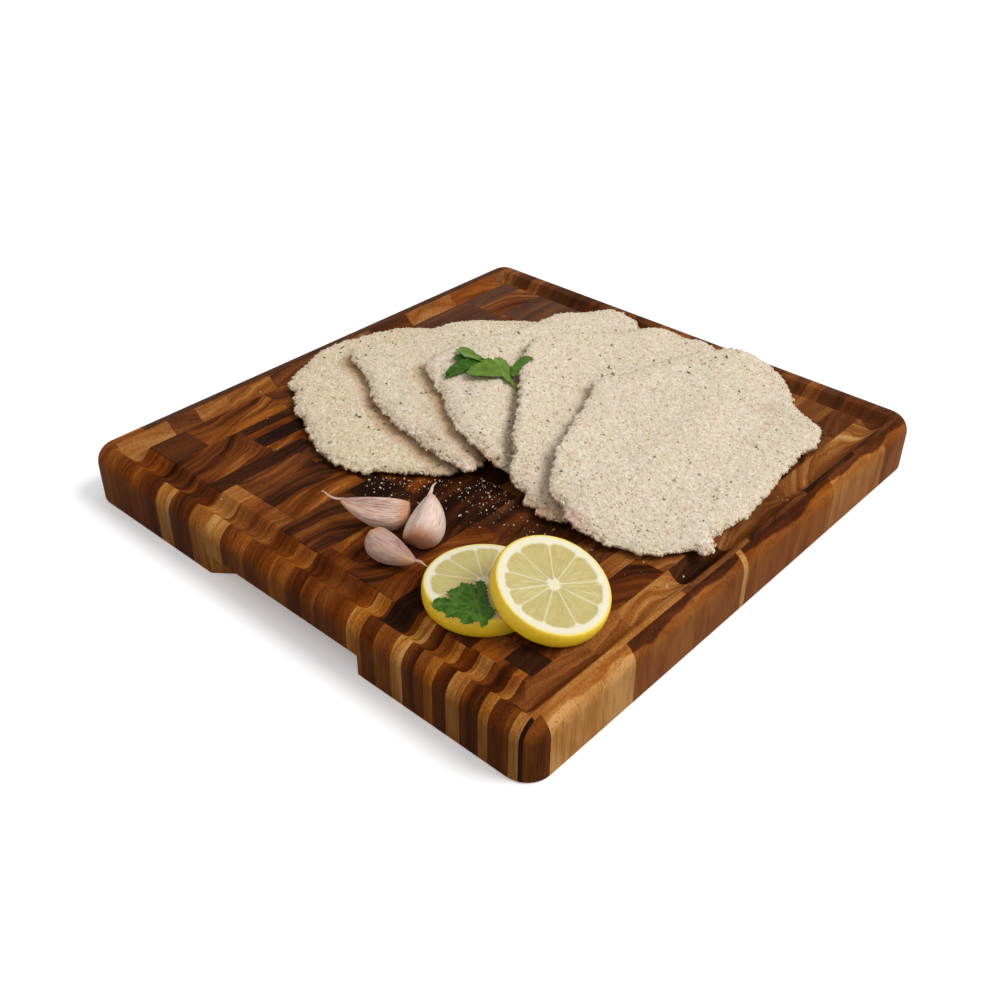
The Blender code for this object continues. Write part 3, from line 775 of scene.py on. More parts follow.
def coat_tree(material):
    """Lumps, crumbs and a ragged rim pushed out of the even surface."""
    tree, n, given = new_tree("crumb coat", {
        "Lump": "NodeSocketFloat", "Lump height": "NodeSocketFloat", "Grain": "NodeSocketFloat",
        "Grain height": "NodeSocketFloat", "Seed": "NodeSocketFloat"})
    position = n.node("GeometryNodeInputPosition", {}, {})
    normal = n.node("GeometryNodeInputNormal", {}, {})
    moved = n.node("ShaderNodeVectorMath", {"operation": "ADD"}, [position, n.node(
        "ShaderNodeCombineXYZ", {}, [given["Seed"], 0.0, 0.0])])
    lumps = n.noise(moved, 1.0 / given["Lump"], 2.0, 0.5)
    grain_scale = 1.0 / given["Grain"]
    cells = n.node("ShaderNodeTexVoronoi", {}, {"Vector": moved, "Scale": grain_scale}, "Distance")
    clumps = n.noise(moved, grain_scale * 0.45, 3.0, 0.65)
    level = Value(n, n.node("ShaderNodeSeparateXYZ", {}, [normal]).socket.node.outputs[2])
    rim = (1.0 - level.math("ABSOLUTE")).between(0.08, 0.7)
    ragged = n.noise(moved, grain_scale * 0.55, 2.0, 0.7)
    torn = n.noise(moved, grain_scale * 0.22, 2.0, 0.6)
    push = (lumps - 0.5) * given["Lump height"] * 2.0
    push = push + (0.5 - cells) * given["Grain height"] + (clumps - 0.5) * given["Grain height"] * 1.3
    push = push + ((ragged - 0.46) * 6.0 + (torn - 0.46) * 7.5) * rim * given["Grain height"]
    above = level.between(-0.9, -0.4)
    offset = n.node("ShaderNodeVectorMath", {"operation": "SCALE"}, {0: normal, "Scale": push * above})
    shaped = n.node("GeometryNodeSetPosition", {}, {"Geometry": given["Geometry"], "Offset": offset})
    end_tree(n, shaped, material)
    return tree


def crumbs_on(n, points, given):
    """An angular crumb of its own size, shape, turn and tint on every point."""
    ball = n.node("GeometryNodeMeshIcoSphere", {}, {"Radius": 1.0, "Subdivisions": 1}, "Mesh")
    turn = n.node("FunctionNodeRandomValue", {"data_type": "FLOAT_VECTOR"},
                  {0: (0.0, 0.0, 0.0), 1: (6.28, 6.28, 6.28), "Seed": 3}, 0)
    size = n.node("FunctionNodeRandomValue", {"data_type": "FLOAT"}, {2: 0.0, 3: 1.0, "Seed": 5}, 1)
    size = given["Smallest"] + (given["Largest"] - given["Smallest"]) * size * size
    shape = n.node("FunctionNodeRandomValue", {"data_type": "FLOAT_VECTOR"},
                   {0: (0.5, 0.4, 0.3), 1: (1.5, 0.9, 0.6), "Seed": 7}, 0)
    scale = n.node("ShaderNodeVectorMath", {"operation": "SCALE"}, {0: shape, "Scale": size})
    crumbs = n.node("GeometryNodeInstanceOnPoints", {}, {
        "Points": points, "Instance": ball, "Rotation": turn, "Scale": scale})
    tint = n.node("FunctionNodeRandomValue", {"data_type": "FLOAT"}, {2: 0.0, 3: 1.0, "Seed": 11}, 1)
    return n.node("GeometryNodeStoreNamedAttribute", {"data_type": "FLOAT", "domain": "INSTANCE"},
                  {"Geometry": crumbs, "Name": "tint", "Value": tint})


def crumb_tree(material):
    """Crumbs scattered over a coat where it is open to the air."""
    tree, n, given = new_tree("loose crumbs", {
        "Density": "NodeSocketFloat", "Rim": "NodeSocketFloat", "Smallest": "NodeSocketFloat",
        "Largest": "NodeSocketFloat", "Seed": "NodeSocketInt"})
    clear = n.node("GeometryNodeInputNamedAttribute", {"data_type": "FLOAT"}, {"Name": "open"})
    normal = n.node("ShaderNodeSeparateXYZ", {}, [n.node("GeometryNodeInputNormal", {}, {})])
    level = Value(n, normal.socket.node.outputs[2])
    density = given["Density"] * clear * level.between(-0.5, 0.1) * (1.0 + (1.0 - level).clamped() * given["Rim"])
    scatter = n.node("GeometryNodeDistributePointsOnFaces", {"distribute_method": "RANDOM"},
                     {"Mesh": given["Geometry"], "Density": density, "Seed": given["Seed"]}, "Points")
    end_tree(n, crumbs_on(n, scatter, given), material)
    return tree


# Where crumbs have dropped on the wood, as (x, y, spread, how many).
DROPPED = [(6, -66, 5, 60), (-4, -74, 6, 110), (22, -60, 8, 70), (38, -60, 8, 60), (50, -66, 7, 36), (14, -80, 12, 40),
           (38, -80, 6, 24), (66, -80, 8, 18), (-14, -93, 7, 50), (-8, -92, 9, 40), (-84, -99, 20, 14), (-135, -76, 12, 8),
           (84, -72, 8, 16), (120, -66, 18, 22), (163, 45, 7, 10), (164, -60, 12, 8), (148, -122, 9, 5),
           (60, -150, 60, 8), (-60, -140, 50, 5)]


def dropped_tree(material):
    """Crumbs on loose points, each its own size and turn."""
    tree, n, given = new_tree("dropped crumbs", {"Smallest": "NodeSocketFloat", "Largest": "NodeSocketFloat"})
    points = n.node("GeometryNodeMeshToPoints", {"mode": "VERTICES"}, {"Mesh": given["Geometry"]})
    end_tree(n, crumbs_on(n, points, given), material)
    return tree


def coat_material(settings):
    """Fine pale breadcrumbs pressed on raw meat."""
    material, n, shader = new_material("crumb_coat", {"Roughness": 0.92, "Specular IOR Level": 0.1})
    place = n.place()
    cells = n.node("ShaderNodeTexVoronoi", {}, {"Vector": place, "Scale": 620.0}, "Color")
    pick = Value(n, n.node("ShaderNodeSeparateColor", {}, [cells]).socket.node.outputs[0])
    gaps = n.node("ShaderNodeTexVoronoi", {}, {"Vector": place, "Scale": 560.0}, "Distance")
    patches = n.noise(place, 70.0, 3.0, 0.6)
    tints = n.noise(place, 120.0, 2.0, 0.6)
    specks = n.noise(place, 420.0, 2.0, 0.6)
    tan = (pick - 0.58).clamped() * 1.0 + (patches - 0.5).clamped() * 0.9
    tan = tan + n.attribute("rim") * 0.30 * specks.between(0.3, 0.6) + n.attribute("dull") * 0.6
    colour = n.mix(tan.clamped(), tuple(settings.cream), tuple(settings.toast))
    colour = n.mix(tints.between(0.5, 0.72) * 0.35, colour, srgb(226, 196, 180))
    colour = n.mix((1.0 - tints).between(0.52, 0.72) * 0.4, colour, srgb(206, 202, 164))
    colour = n.mix((0.3 - pick).between(0.0, 0.2) * 0.5, colour, srgb(238, 230, 214))
    # painted shade: a brown tint in the fold beside the edge of the cutlet on top
    colour = n.mix(n.attribute("tucked"), colour, srgb(182, 140, 92))
    grit = n.noise(place, 760.0, 2.0, 0.7)
    colour = n.mix(n.attribute("rim") * grit.between(0.46, 0.58) * 0.85, colour, srgb(126, 90, 48))
    colour = n.mix(n.attribute("pink") * specks.between(0.3, 0.62) * 0.7, colour, srgb(206, 156, 146))
    colour = n.mix(n.attribute("brown") * specks.between(0.3, 0.55) * 0.85, colour, srgb(150, 92, 40))
    # painted shade in the gaps between the crumbs
    colour = n.mix(gaps.between(0.5, 0.95) * 0.4, colour, srgb(176, 148, 116))
    flecks = n.noise(place, 330.0, 1.0, 0.5)
    colour = n.mix(flecks.between(0.70, 0.74) * 0.4, colour, srgb(146, 134, 106))
    height = n.noise(place, 1300.0, 2.0, 0.7) - gaps * 0.6
    shade(n, shader, Base_Color=colour, Normal=n.bump(height, 0.0004, 0.7))
    return material


def crumb_material(settings):
    """The loose crumbs: cream to tan, each its own shade."""
    material, n, shader = new_material("loose_breadcrumbs", {"Roughness": 0.9, "Specular IOR Level": 0.2})
    colour = n.node("ShaderNodeValToRGB", {"stops": [
        (0.0, srgb(248, 240, 222)), (0.35, tuple(settings.cream)), (0.8, srgb(216, 196, 162)),
        (1.0, srgb(186, 154, 112))]}, [n.attribute("tint")])
    dark = n.attribute("tint").between(0.45, 0.6)
    # painted shade on the crumbs that lie in the folds
    colour = n.mix(n.attribute("tucked"), colour, srgb(186, 146, 98))
    colour = n.mix(n.attribute("rim") * dark * 0.85, colour, srgb(150, 110, 62))
    colour = n.mix(n.attribute("pink") * dark * 0.7, colour, srgb(204, 150, 142))
    colour = n.mix(n.attribute("brown") * dark * 0.9, colour, srgb(156, 98, 46))
    shade(n, shader, Base_Color=colour, Normal=n.bump(n.noise(n.place(), 2200.0, 1.0, 0.5), 0.0002, 0.5))
    return material


def herb_material():
    """Dried herb flakes, from olive to nearly black."""
    material, n, shader = new_material("dried_herb", {"Roughness": 0.8, "Specular IOR Level": 0.2})
    colour = n.mix(n.attribute("tint"), srgb(90, 88, 60), srgb(160, 152, 116))
    shade(n, shader, Base_Color=colour)
    return material


def dropped_crumbs(material):
    """The crumbs that lie on the board round the meat."""
    rng = np.random.default_rng(31)
    hidden_by = trees_of(CUTLETS)
    points = []
    for x, y, spread, count in DROPPED:
        for dx, dy in rng.normal(0, spread, (count, 2)):
            at = ((x + dx) * MM, (y + dy) * MM)
            if top_height(hidden_by, *at) < BOARD_TOP + MM and abs(at[0]) < 0.17 and abs(at[1]) < 0.18:
                points.append((*at, BOARD_TOP + 0.15 * MM))
    mesh = bpy.data.meshes.new("dropped_crumbs")
    mesh.from_pydata(points, [], [])
    piece = new_piece("dropped_crumbs", mesh)
    run_tree(piece, dropped_tree(material), {"Smallest": 0.0002, "Largest": 0.0009})
    finish_piece(piece, "breading")


class PLATTER_OT_schnitzels(bpy.types.Operator):
    """Coat each cutlet in crumbs: relief in its surface, loose crumbs and herb flakes on top"""
    bl_idname = "platter.schnitzels"
    bl_label = "Breaded schnitzels"

    def execute(self, context):
        settings = context.scene.platter_breading
        coat, crumb, herb = coat_material(settings), crumb_material(settings), herb_material()
        shape, scatter, flakes = coat_tree(coat), crumb_tree(crumb), crumb_tree(herb)
        for number, node in enumerate(CUTLETS):
            piece = coat_mesh(node, settings.cell)
            run_tree(piece, shape, {
                "Lump": settings.lump, "Lump height": settings.lump_height, "Grain": settings.grain,
                "Grain height": settings.grain_height, "Seed": number * 0.37})
            mesh = piece.data
            nick_edges(mesh, EDGE_NICKS[node])
            mesh.shade_smooth()
            points = coordinates(mesh)
            normals = np.empty(len(points) * 3, np.float32)
            mesh.vertices.foreach_get("normal", normals)
            level = normals.reshape(-1, 3)[:, 2]
            set_attribute(mesh, "open", "FLOAT", open_share(points, CUTLETS[number + 1:]))
            # painted shade in the folds under the cutlets on top
            strength, fade = FOLD_SHADE[node]
            tucked = strength * fold_shade_share(points, CUTLETS[number + 1:]) ** fade
            set_attribute(mesh, "tucked", "FLOAT", tucked)
            set_attribute(mesh, "dull", "FLOAT", np.full(len(points), DULLNESS[node]))
            set_attribute(mesh, "rim", "FLOAT", np.clip(1.3 - 1.4 * level, 0, 1))
            set_attribute(mesh, "brown", "FLOAT", marks_at(points, BROWN_MARKS))
            set_attribute(mesh, "pink", "FLOAT", marks_at(points, PINK_MARKS))
            finish_piece(piece, "breading", node)
            crumbs = new_piece("crumbs_on_" + node, mesh.copy())
            run_tree(crumbs, scatter, {"Density": settings.density, "Rim": 2.2, "Smallest": 0.00026,
                                       "Largest": 0.00095, "Seed": number})
            finish_piece(crumbs, "breading")
            herbs = new_piece("herbs_on_" + node, mesh.copy())
            run_tree(herbs, flakes, {"Density": 3800.0, "Rim": 0.0, "Smallest": 0.0006, "Largest": 0.0018,
                                     "Seed": number + 20})
            finish_piece(herbs, "parsley")
        dropped_crumbs(crumb)
        return {"FINISHED"}


# ---------------------------------------------------------------- the lemon

# The two slices, with sizes and places shared with the solids, and the turn of each membrane in degrees.
LEMON_PEEL_BULGE = 1.5
FLAT_SLICE = {"node": "lemon_slice_1", "at": (99.3, -135.7), "radius": 31.8, "thick": 11.2, "tilt": 0.0, "flesh": 27.3,
              "membranes": (143, 114, 80, 43, 5, -35, -72, -110, -150, -182)}
LEANING_SLICE = {"node": "lemon_slice_2", "at": (132.6, -123.0), "radius": 31.0, "thick": 10.3, "tilt": 22.0, "flesh": 25.8,
                 "membranes": (139, 103, 61, 24, -19, -60, -93, -117, -143, -178)}
CORE_RADIUS = 3.0


class LemonSettings(bpy.types.PropertyGroup):
    flesh: bpy.props.FloatVectorProperty(
        name="Flesh", description="Colour of the juice cells", subtype="COLOR", default=srgb(198, 181, 116))
    pith: bpy.props.FloatVectorProperty(
        name="Pith", description="Colour of the white pith", subtype="COLOR", default=srgb(226, 219, 196))
    peel: bpy.props.FloatVectorProperty(
        name="Peel", description="Colour of the zest", subtype="COLOR", default=srgb(232, 196, 34))
    wetness: bpy.props.FloatProperty(
        name="Wetness", description="Roughness of the cut face", default=0.28, subtype="FACTOR", min=0, max=1)


def lemon_rings(radius, thick, flesh):
    """The slice's profile from the middle of its top to the middle of its bottom, as (reach, height)."""
    half = thick / 2
    cut_edge = radius - LEMON_PEEL_BULGE
    rings = [(flesh * i / 44, half) for i in range(1, 45)]
    rings += [(flesh + (cut_edge - flesh) * i / 8, half) for i in range(1, 8)]
    for i in range(15):
        height = half * math.cos(math.pi * i / 14)
        bulge = math.sqrt(max(1 - (height / half) ** 2, 0))
        rings.append((radius - LEMON_PEEL_BULGE * (1 - bulge), height))
    rings += [(cut_edge * (1 - i / 8), -half) for i in range(1, 8)]
    return rings


def lemon_masks(x, y, membranes, flesh_radius):
    """How much of a point in the cut face is flesh, and how much is membrane."""
    reach = math.hypot(x, y)
    turn = math.degrees(math.atan2(y, x))
    after = min((turn - m) % 360 for m in membranes)
    before = min((m - turn) % 360 for m in membranes)
    across = (after - before) / (after + before)
    wobble = noise.noise(Vector((x, y, 3.0)) * 0.35) * 0.5
    outer = flesh_radius - 2.6 * abs(across) ** 6 + wobble
    side = math.radians(min(after, before)) * reach
    inner = CORE_RADIUS + wobble * 3
    depth = min((outer - reach) / 1.1, (side - 0.02 - wobble * 0.12) / 0.42, (reach - inner) / 1.4)
    flesh = min(max(depth, 0), 1)
    film = math.exp(-(side / 0.34) ** 2) * min(max((outer + 1.5 - reach) / 1.5, 0), 1)
    return flesh, film


def make_lemon_slice(spec, material):
    """A slice with sunken juice cells, thin membranes, a puffed pith and a dimpled peel."""
    rings = lemon_rings(spec["radius"], spec["thick"], spec["flesh"])
    sides = 220
    points, flesh, film, peel, cells = [], [], [], [], []
    cut = spec["radius"] - LEMON_PEEL_BULGE - 0.4
    half = spec["thick"] / 2
    for reach, height in [(0.0, half)] + rings:
        for k in range(1 if reach == 0 else sides):
            turn = 2 * math.pi * k / sides
            x, y = reach * math.cos(turn), reach * math.sin(turn)
            top = height > half * 0.98
            is_flesh, is_film, sink = 0, 0, 0.0
            if height == half:
                is_flesh, is_film = lemon_masks(x, y, spec["membranes"], spec["flesh"])
                pulp = noise.noise(Vector((math.cos(turn) * 9, math.sin(turn) * 9, reach * 0.16)))
                grain = noise.noise(Vector((x, y, 0.0)) * 1.1)
                sink = is_flesh * (0.34 - 0.16 * pulp - 0.10 * grain) - 0.04 * is_film
                sink -= 0.2 * noise.noise(Vector((x, y, 9.0)) * 0.25) * (1 - is_flesh)
            dimple = 0.0
            if reach > cut and not top:
                dimple = 0.10 * noise.noise(Vector((x, y, height)) * 0.9) + 0.05 * noise.noise(Vector((x, y, height)) * 2)
            out = 1 + dimple / max(reach, 1)
            points.append((x * out, y * out, height - sink))
            flesh.append(is_flesh)
            film.append(is_film)
            peel.append(min(max((reach - cut + 0.35) / 0.7, 0), 1) if not top else
                        0.55 * min(max((reach - cut + 1.0) / 1.4, 0), 1))
            cells.append((math.cos(turn) * 12, math.sin(turn) * 12, reach * 0.16))
    faces = []
    for k in range(sides):
        faces.append((0, 1 + k, 1 + (k + 1) % sides))
    for ring in range(len(rings) - 1):
        here, there = 1 + ring * sides, 1 + (ring + 1) * sides
        for k in range(sides):
            j = (k + 1) % sides
            faces.append((here + k, there + k, there + j, here + j))
    points.append((0.0, 0.0, -half))
    last = 1 + (len(rings) - 1) * sides
    faces += [(last + k, len(points) - 1, last + (k + 1) % sides) for k in range(sides)]
    for values, empty in ((flesh, 0), (film, 0), (peel, 0), (cells, (0, 0, 0))):
        values.append(empty)
    mesh = mesh_from("cut_" + spec["node"], points, faces)
    tilt = Matrix.Rotation(math.radians(spec["tilt"]), 4, "Y")
    mesh.transform(Matrix.Scale(MM, 4) @ Matrix.Translation((*spec["at"], 0)) @ tilt)
    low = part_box(spec["node"])[0].z
    drop = low - min(v.co.z for v in mesh.vertices)
    mesh.transform(Matrix.Translation((0, 0, drop)))
    set_attribute(mesh, "flesh", "FLOAT", flesh)
    set_attribute(mesh, "film", "FLOAT", film)
    set_attribute(mesh, "peel", "FLOAT", peel)
    set_attribute(mesh, "cells", "FLOAT_VECTOR", np.array(cells))
    return new_piece("cut_" + spec["node"], mesh, [material])


def lemon_material(settings):
    """Juice cells that run out from the core, pale membranes, white pith and bright peel."""
    material, n, shader = new_material("cut_lemon", {
        "Specular IOR Level": 0.5, "Subsurface Weight": 0.15, "Subsurface Scale": 0.004,
        "Subsurface Radius": (1.0, 0.8, 0.3)})
    cells = n.attribute("cells", "Vector")
    streaks = n.noise(cells, 2.2, 3.0, 0.6)
    broad = n.noise(cells, 0.7, 1.0, 0.5)
    flesh = n.mix(streaks.between(0.3, 0.75), srgb(184, 166, 98), tuple(settings.flesh))
    flesh = n.mix(broad.between(0.35, 0.7) * 0.35, flesh, srgb(208, 192, 134))
    pith = n.mix(n.noise(n.place(), 700.0, 2.0, 0.6) * 0.35, tuple(settings.pith), srgb(232, 222, 180))
    colour = n.mix(n.attribute("flesh"), pith, flesh)
    colour = n.mix(n.attribute("film") * 0.5, colour, srgb(214, 200, 146))
    zest = n.mix(n.noise(n.place(), 120.0, 2.0, 0.6), tuple(settings.peel), srgb(214, 172, 14))
    colour = n.mix(n.attribute("peel").between(0.0, 0.5), colour, srgb(224, 210, 112))
    colour = n.mix(n.attribute("peel").between(0.5, 1.0), colour, zest)
    rough = n.attribute("flesh") * (settings.wetness - 0.5) + 0.5
    pores = n.node("ShaderNodeTexVoronoi", {}, {"Vector": n.place(), "Scale": 900.0}, "Distance")
    height = streaks * n.attribute("flesh") * 0.6 + pores * n.attribute("peel") * 0.25
    shade(n, shader, Base_Color=colour, Roughness=rough, Normal=n.bump(height, 0.0005, 0.7))
    return material


class PLATTER_OT_lemon(bpy.types.Operator):
    """Make the two lemon slices, one flat and one leaning on it"""
    bl_idname = "platter.lemon"
    bl_label = "Lemon slices"

    def execute(self, context):
        material = lemon_material(context.scene.platter_lemon)
        for spec in (FLAT_SLICE, LEANING_SLICE):
            finish_piece(make_lemon_slice(spec, material), "lemon", spec["node"])
        return {"FINISHED"}


# ---------------------------------------------------------------- the garlic

# Each clove from its root to its tip, as in the solids, with its papery tail's points after the tip.
CLOVE_SPECS = {
    "garlic_clove_1": {"root": (28, -118, 9), "tip": (-3, -140, 10), "girth": 18.0, "back": (0.25, -0.35, -0.9),
                       "lean": 0.66, "tail": [(-2, -139, 10), (-7, -140, 8.5), (-12, -140.5, 8), (-19, -139, 7.5)],
                       "blush": 0.9, "tone": 0.95},
    "garlic_clove_2": {"root": (43, -134, 5), "tip": (31, -105, 15), "girth": 22.0, "back": (0.7, 0.66, 0.3),
                       "tail": [(31.5, -107, 14), (29, -102, 15), (26, -98, 14.5), (23, -92, 13)],
                       "lean": 0.55, "blush": 0.6, "tone": 1.25},
    "garlic_clove_3": {"root": (29, -144, 11), "tip": (59, -144, 6), "girth": 17.0, "back": (-0.3, -0.8, -0.3),
                       "tail": [(58, -144, 6.2), (61, -143, 6.5), (63, -142.4, 5.5), (65, -141.5, 4.2)],
                       "lean": 0.5, "blush": 1.0, "tone": 0.55},
}


class GarlicSettings(bpy.types.PropertyGroup):
    skin: bpy.props.FloatVectorProperty(
        name="Skin", description="Colour of the papery skin", subtype="COLOR", default=srgb(212, 177, 153))
    blush: bpy.props.FloatVectorProperty(
        name="Blush", description="Colour of the skin's streaks", subtype="COLOR", default=srgb(146, 76, 84))
    rib_height: bpy.props.FloatProperty(
        name="Rib height", description="Height of the skin's long ribs", default=0.0002, unit="LENGTH")


def clove_breadth(along):
    """Breadth of a clove, as a share of its widest, from its root end (0) to its tip (1)."""
    return 1.94 * (along + 0.03) ** 0.35 * (1 - along * 0.97) ** 0.8


def clove_section(turn):
    """Radius of a clove's cross-section at an angle from its back, which is round, to its ridge."""
    cheek = min(max((abs(turn) - math.radians(70)) / math.radians(110), 0.0), 1.0)
    return 1 - 0.30 * math.sin(math.pi * cheek) ** 2


def tube(path, radii, flat, sides=10):
    """Points and faces of a closed tube along a path; its section is flattened to a ribbon."""
    path = [Vector(p) for p in path]
    points, faces = [], []
    for i, (here, radius) in enumerate(zip(path, radii)):
        ahead = (path[min(i + 1, len(path) - 1)] - path[max(i - 1, 0)]).normalized()
        side = ahead.cross(Vector((0, 0, 1))).normalized()
        over = side.cross(ahead)
        for k in range(sides):
            turn = 2 * math.pi * k / sides
            points.append(here + side * radius * math.cos(turn) + over * radius * flat * math.sin(turn))
    for i in range(len(path) - 1):
        for k in range(sides):
            j = (k + 1) % sides
            faces.append((i * sides + k, i * sides + j, (i + 1) * sides + j, (i + 1) * sides + k))
    faces.append(tuple(reversed(range(sides))))
    faces.append(tuple(range((len(path) - 1) * sides, len(path) * sides)))
    return points, faces


def curve_through(points, count):
    """A smooth path through given points."""
    points = [Vector(p) for p in points]
    padded = [points[0] * 2 - points[1]] + points + [points[-1] * 2 - points[-2]]
    path = []
    for i in range(count):
        at = (len(points) - 1) * i / (count - 1)
        k = min(int(at), len(points) - 2)
        t = at - k
        a, b, c, d = padded[k:k + 4]
        path.append(0.5 * (2 * b + (c - a) * t + (2 * a - 5 * b + 4 * c - d) * t * t
                           + (3 * b - a - 3 * c + d) * t ** 3))
    return path


def make_clove(node, spec, settings, material):
    """A clove lofted from root to tip, with ribs in its skin and a dry tail."""
    root, tip = Vector(spec["root"]), Vector(spec["tip"])
    axis = (tip - root).normalized()
    back = Vector(spec["back"])
    back = (back - axis * back.dot(axis)).normalized()
    side = axis.cross(back)
    rings, sides = 60, 72
    seed = spec["girth"]
    points, faces, skin = [], [], []
    for i in range(rings):
        along = i / (rings - 1)
        radius = spec["girth"] / 2 * clove_breadth(along)
        centre = root.lerp(tip, along) + back * radius * spec["lean"]
        for k in range(sides):
            turn = 2 * math.pi * k / sides - math.pi
            ribs = noise.noise(Vector((math.cos(turn) * 7, math.sin(turn) * 7, along * 1.1 + seed)))
            ribs += 0.5 * noise.noise(Vector((math.cos(turn) * 17, math.sin(turn) * 17, along * 1.6 + seed)))
            reach = radius * clove_section(turn) + ribs * settings.rib_height / MM * min(radius / 4, 1)
            points.append(centre + back * reach * math.cos(turn) + side * reach * math.sin(turn))
            skin.append((math.cos(turn) * 3, math.sin(turn) * 3, along))
    for i in range(rings - 1):
        for k in range(sides):
            j = (k + 1) % sides
            faces.append((i * sides + k, i * sides + j, (i + 1) * sides + j, (i + 1) * sides + k))
    faces.append(tuple(reversed(range(sides))))
    faces.append(tuple(range((rings - 1) * sides, rings * sides)))
    low = min(p.z for p in points)
    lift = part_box(node)[0].z / MM - low
    points = [p + Vector((0, 0, lift)) for p in points]
    tail = curve_through([Vector(p) + Vector((0, 0, lift)) for p in spec["tail"]], 14)
    widths = [1.15 * (1 - i / 15) ** 0.9 + 0.14 for i in range(14)]
    extra, more = tube(tail, widths, 0.4)
    faces += [tuple(len(points) + v for v in face) for face in more]
    points += extra
    skin += [(3.0, 0.0, 0.7)] * len(extra)
    mesh = mesh_from("skinned_" + node, np.array([tuple(p) for p in points]) * MM, faces)
    bm = bmesh.new()
    bm.from_mesh(mesh)
    bmesh.ops.recalc_face_normals(bm, faces=bm.faces)
    bm.to_mesh(mesh)
    bm.free()
    set_attribute(mesh, "skin", "FLOAT_VECTOR", np.array(skin))
    set_attribute(mesh, "blush", "FLOAT", np.full(len(points), spec["blush"]))
    set_attribute(mesh, "tone", "FLOAT", np.full(len(points), spec["tone"]))
    return new_piece("skinned_" + node, mesh, [material])


def garlic_material(settings):
    """Glossy papery skin with long pink streaks, tan at the root and tip."""
    material, n, shader = new_material("garlic_skin", {
        "Roughness": 0.42, "Specular IOR Level": 0.3, "Sheen Weight": 0.1,
        "Subsurface Weight": 0.2, "Subsurface Scale": 0.003, "Subsurface Radius": (1.0, 0.6, 0.4)})
    skin = n.attribute("skin", "Vector")
    parts = n.node("ShaderNodeSeparateXYZ", {}, [skin])
    along = Value(n, parts.socket.node.outputs[2])
    ridge = (0.2 - Value(n, parts.socket.node.outputs[0])).between(0.0, 3.0)
    long_way = n.stretched(skin, (1.0, 1.0, 1.0))
    streaks = n.noise(long_way, 2.2, 3.0, 0.7)
    broad = n.noise(long_way, 0.8, 1.0, 0.5)
    fine = n.noise(long_way, 6.0, 2.0, 0.6)
    blush = streaks.between(0.46, 0.60) * broad.between(0.36, 0.60) * 0.7 + fine.between(0.50, 0.66) * 0.4
    blush = blush * n.attribute("blush") + ridge * along.between(0.2, 0.7) * n.attribute("blush") * 0.9
    colour = n.mix(blush.clamped() * 0.75, tuple(settings.skin), tuple(settings.blush))
    colour = n.mix((0.52 - fine).between(0.0, 0.12) * 0.5, colour, srgb(240, 222, 210))
    colour = n.mix((1.0 - n.attribute("tone")).clamped(), colour, srgb(138, 98, 86))
    colour = n.mix((n.attribute("tone") - 1.0).clamped(), colour, srgb(246, 232, 222))
    colour = n.mix((0.20 - along).between(0.0, 0.20) * 0.75, colour, srgb(190, 118, 64))
    colour = n.mix(along.between(0.70, 0.97) * (1.0 - ridge) * 0.6, colour, srgb(200, 144, 84))
    slits = n.noise(n.stretched(skin, (1.0, 1.0, 1.6)), 3.4, 1.0, 0.5).between(0.70, 0.74)
    colour = n.mix(slits * 0.6, colour, srgb(110, 66, 34))
    shade(n, shader, Base_Color=colour, Normal=n.bump(streaks, 0.0004, 0.6))
    return material


class PLATTER_OT_garlic(bpy.types.Operator):
    """Make the three unpeeled garlic cloves"""
    bl_idname = "platter.garlic"
    bl_label = "Garlic cloves"

    def execute(self, context):
        settings = context.scene.platter_garlic
        material = garlic_material(settings)
        for node, spec in CLOVE_SPECS.items():
            finish_piece(make_clove(node, spec, settings, material), "garlic_skin", node)
        return {"FINISHED"}


# ---------------------------------------------------------------- the parsley

# The leaf on the flat lemon slice: its outline, and its ribs from where the stalk joins it.
LEAF_OUTLINE = [(92.9, -168), (92.8, -164), (93.4, -162), (95.8, -159.6), (98.6, -157.4), (96, -156.8),
                (92.7, -156.4), (93.1, -152.5), (94.4, -150), (93.7, -146.3), (95.4, -143.5), (97.5, -142.3),
                (100, -142.5), (102, -144), (97.9, -140.8), (99.2, -137.9), (102.2, -137.8), (106.2, -140.4),
                (110.5, -144.9), (115.5, -148.7), (120.5, -150.3), (122.5, -152.1), (122.6, -156), (123.7, -160),
                (123.3, -162.6), (121.2, -162.4), (118.3, -160.2), (118.7, -162), (118.4, -164.3),
                (116.8, -165.9), (114.7, -167), (112.4, -167), (110.2, -165.8), (108.5, -168), (106.4, -169),
                (104.7, -169.4), (102.4, -167.8), (99.4, -169.3), (97.2, -169.3)]
LEAF_STALK = (110, -152)
LEAF_RIBS = [(95, -166.5), (94.5, -152.8), (96, -144), (100, -139.5), (121.5, -161), (114, -166.5), (104.5, -168.5)]
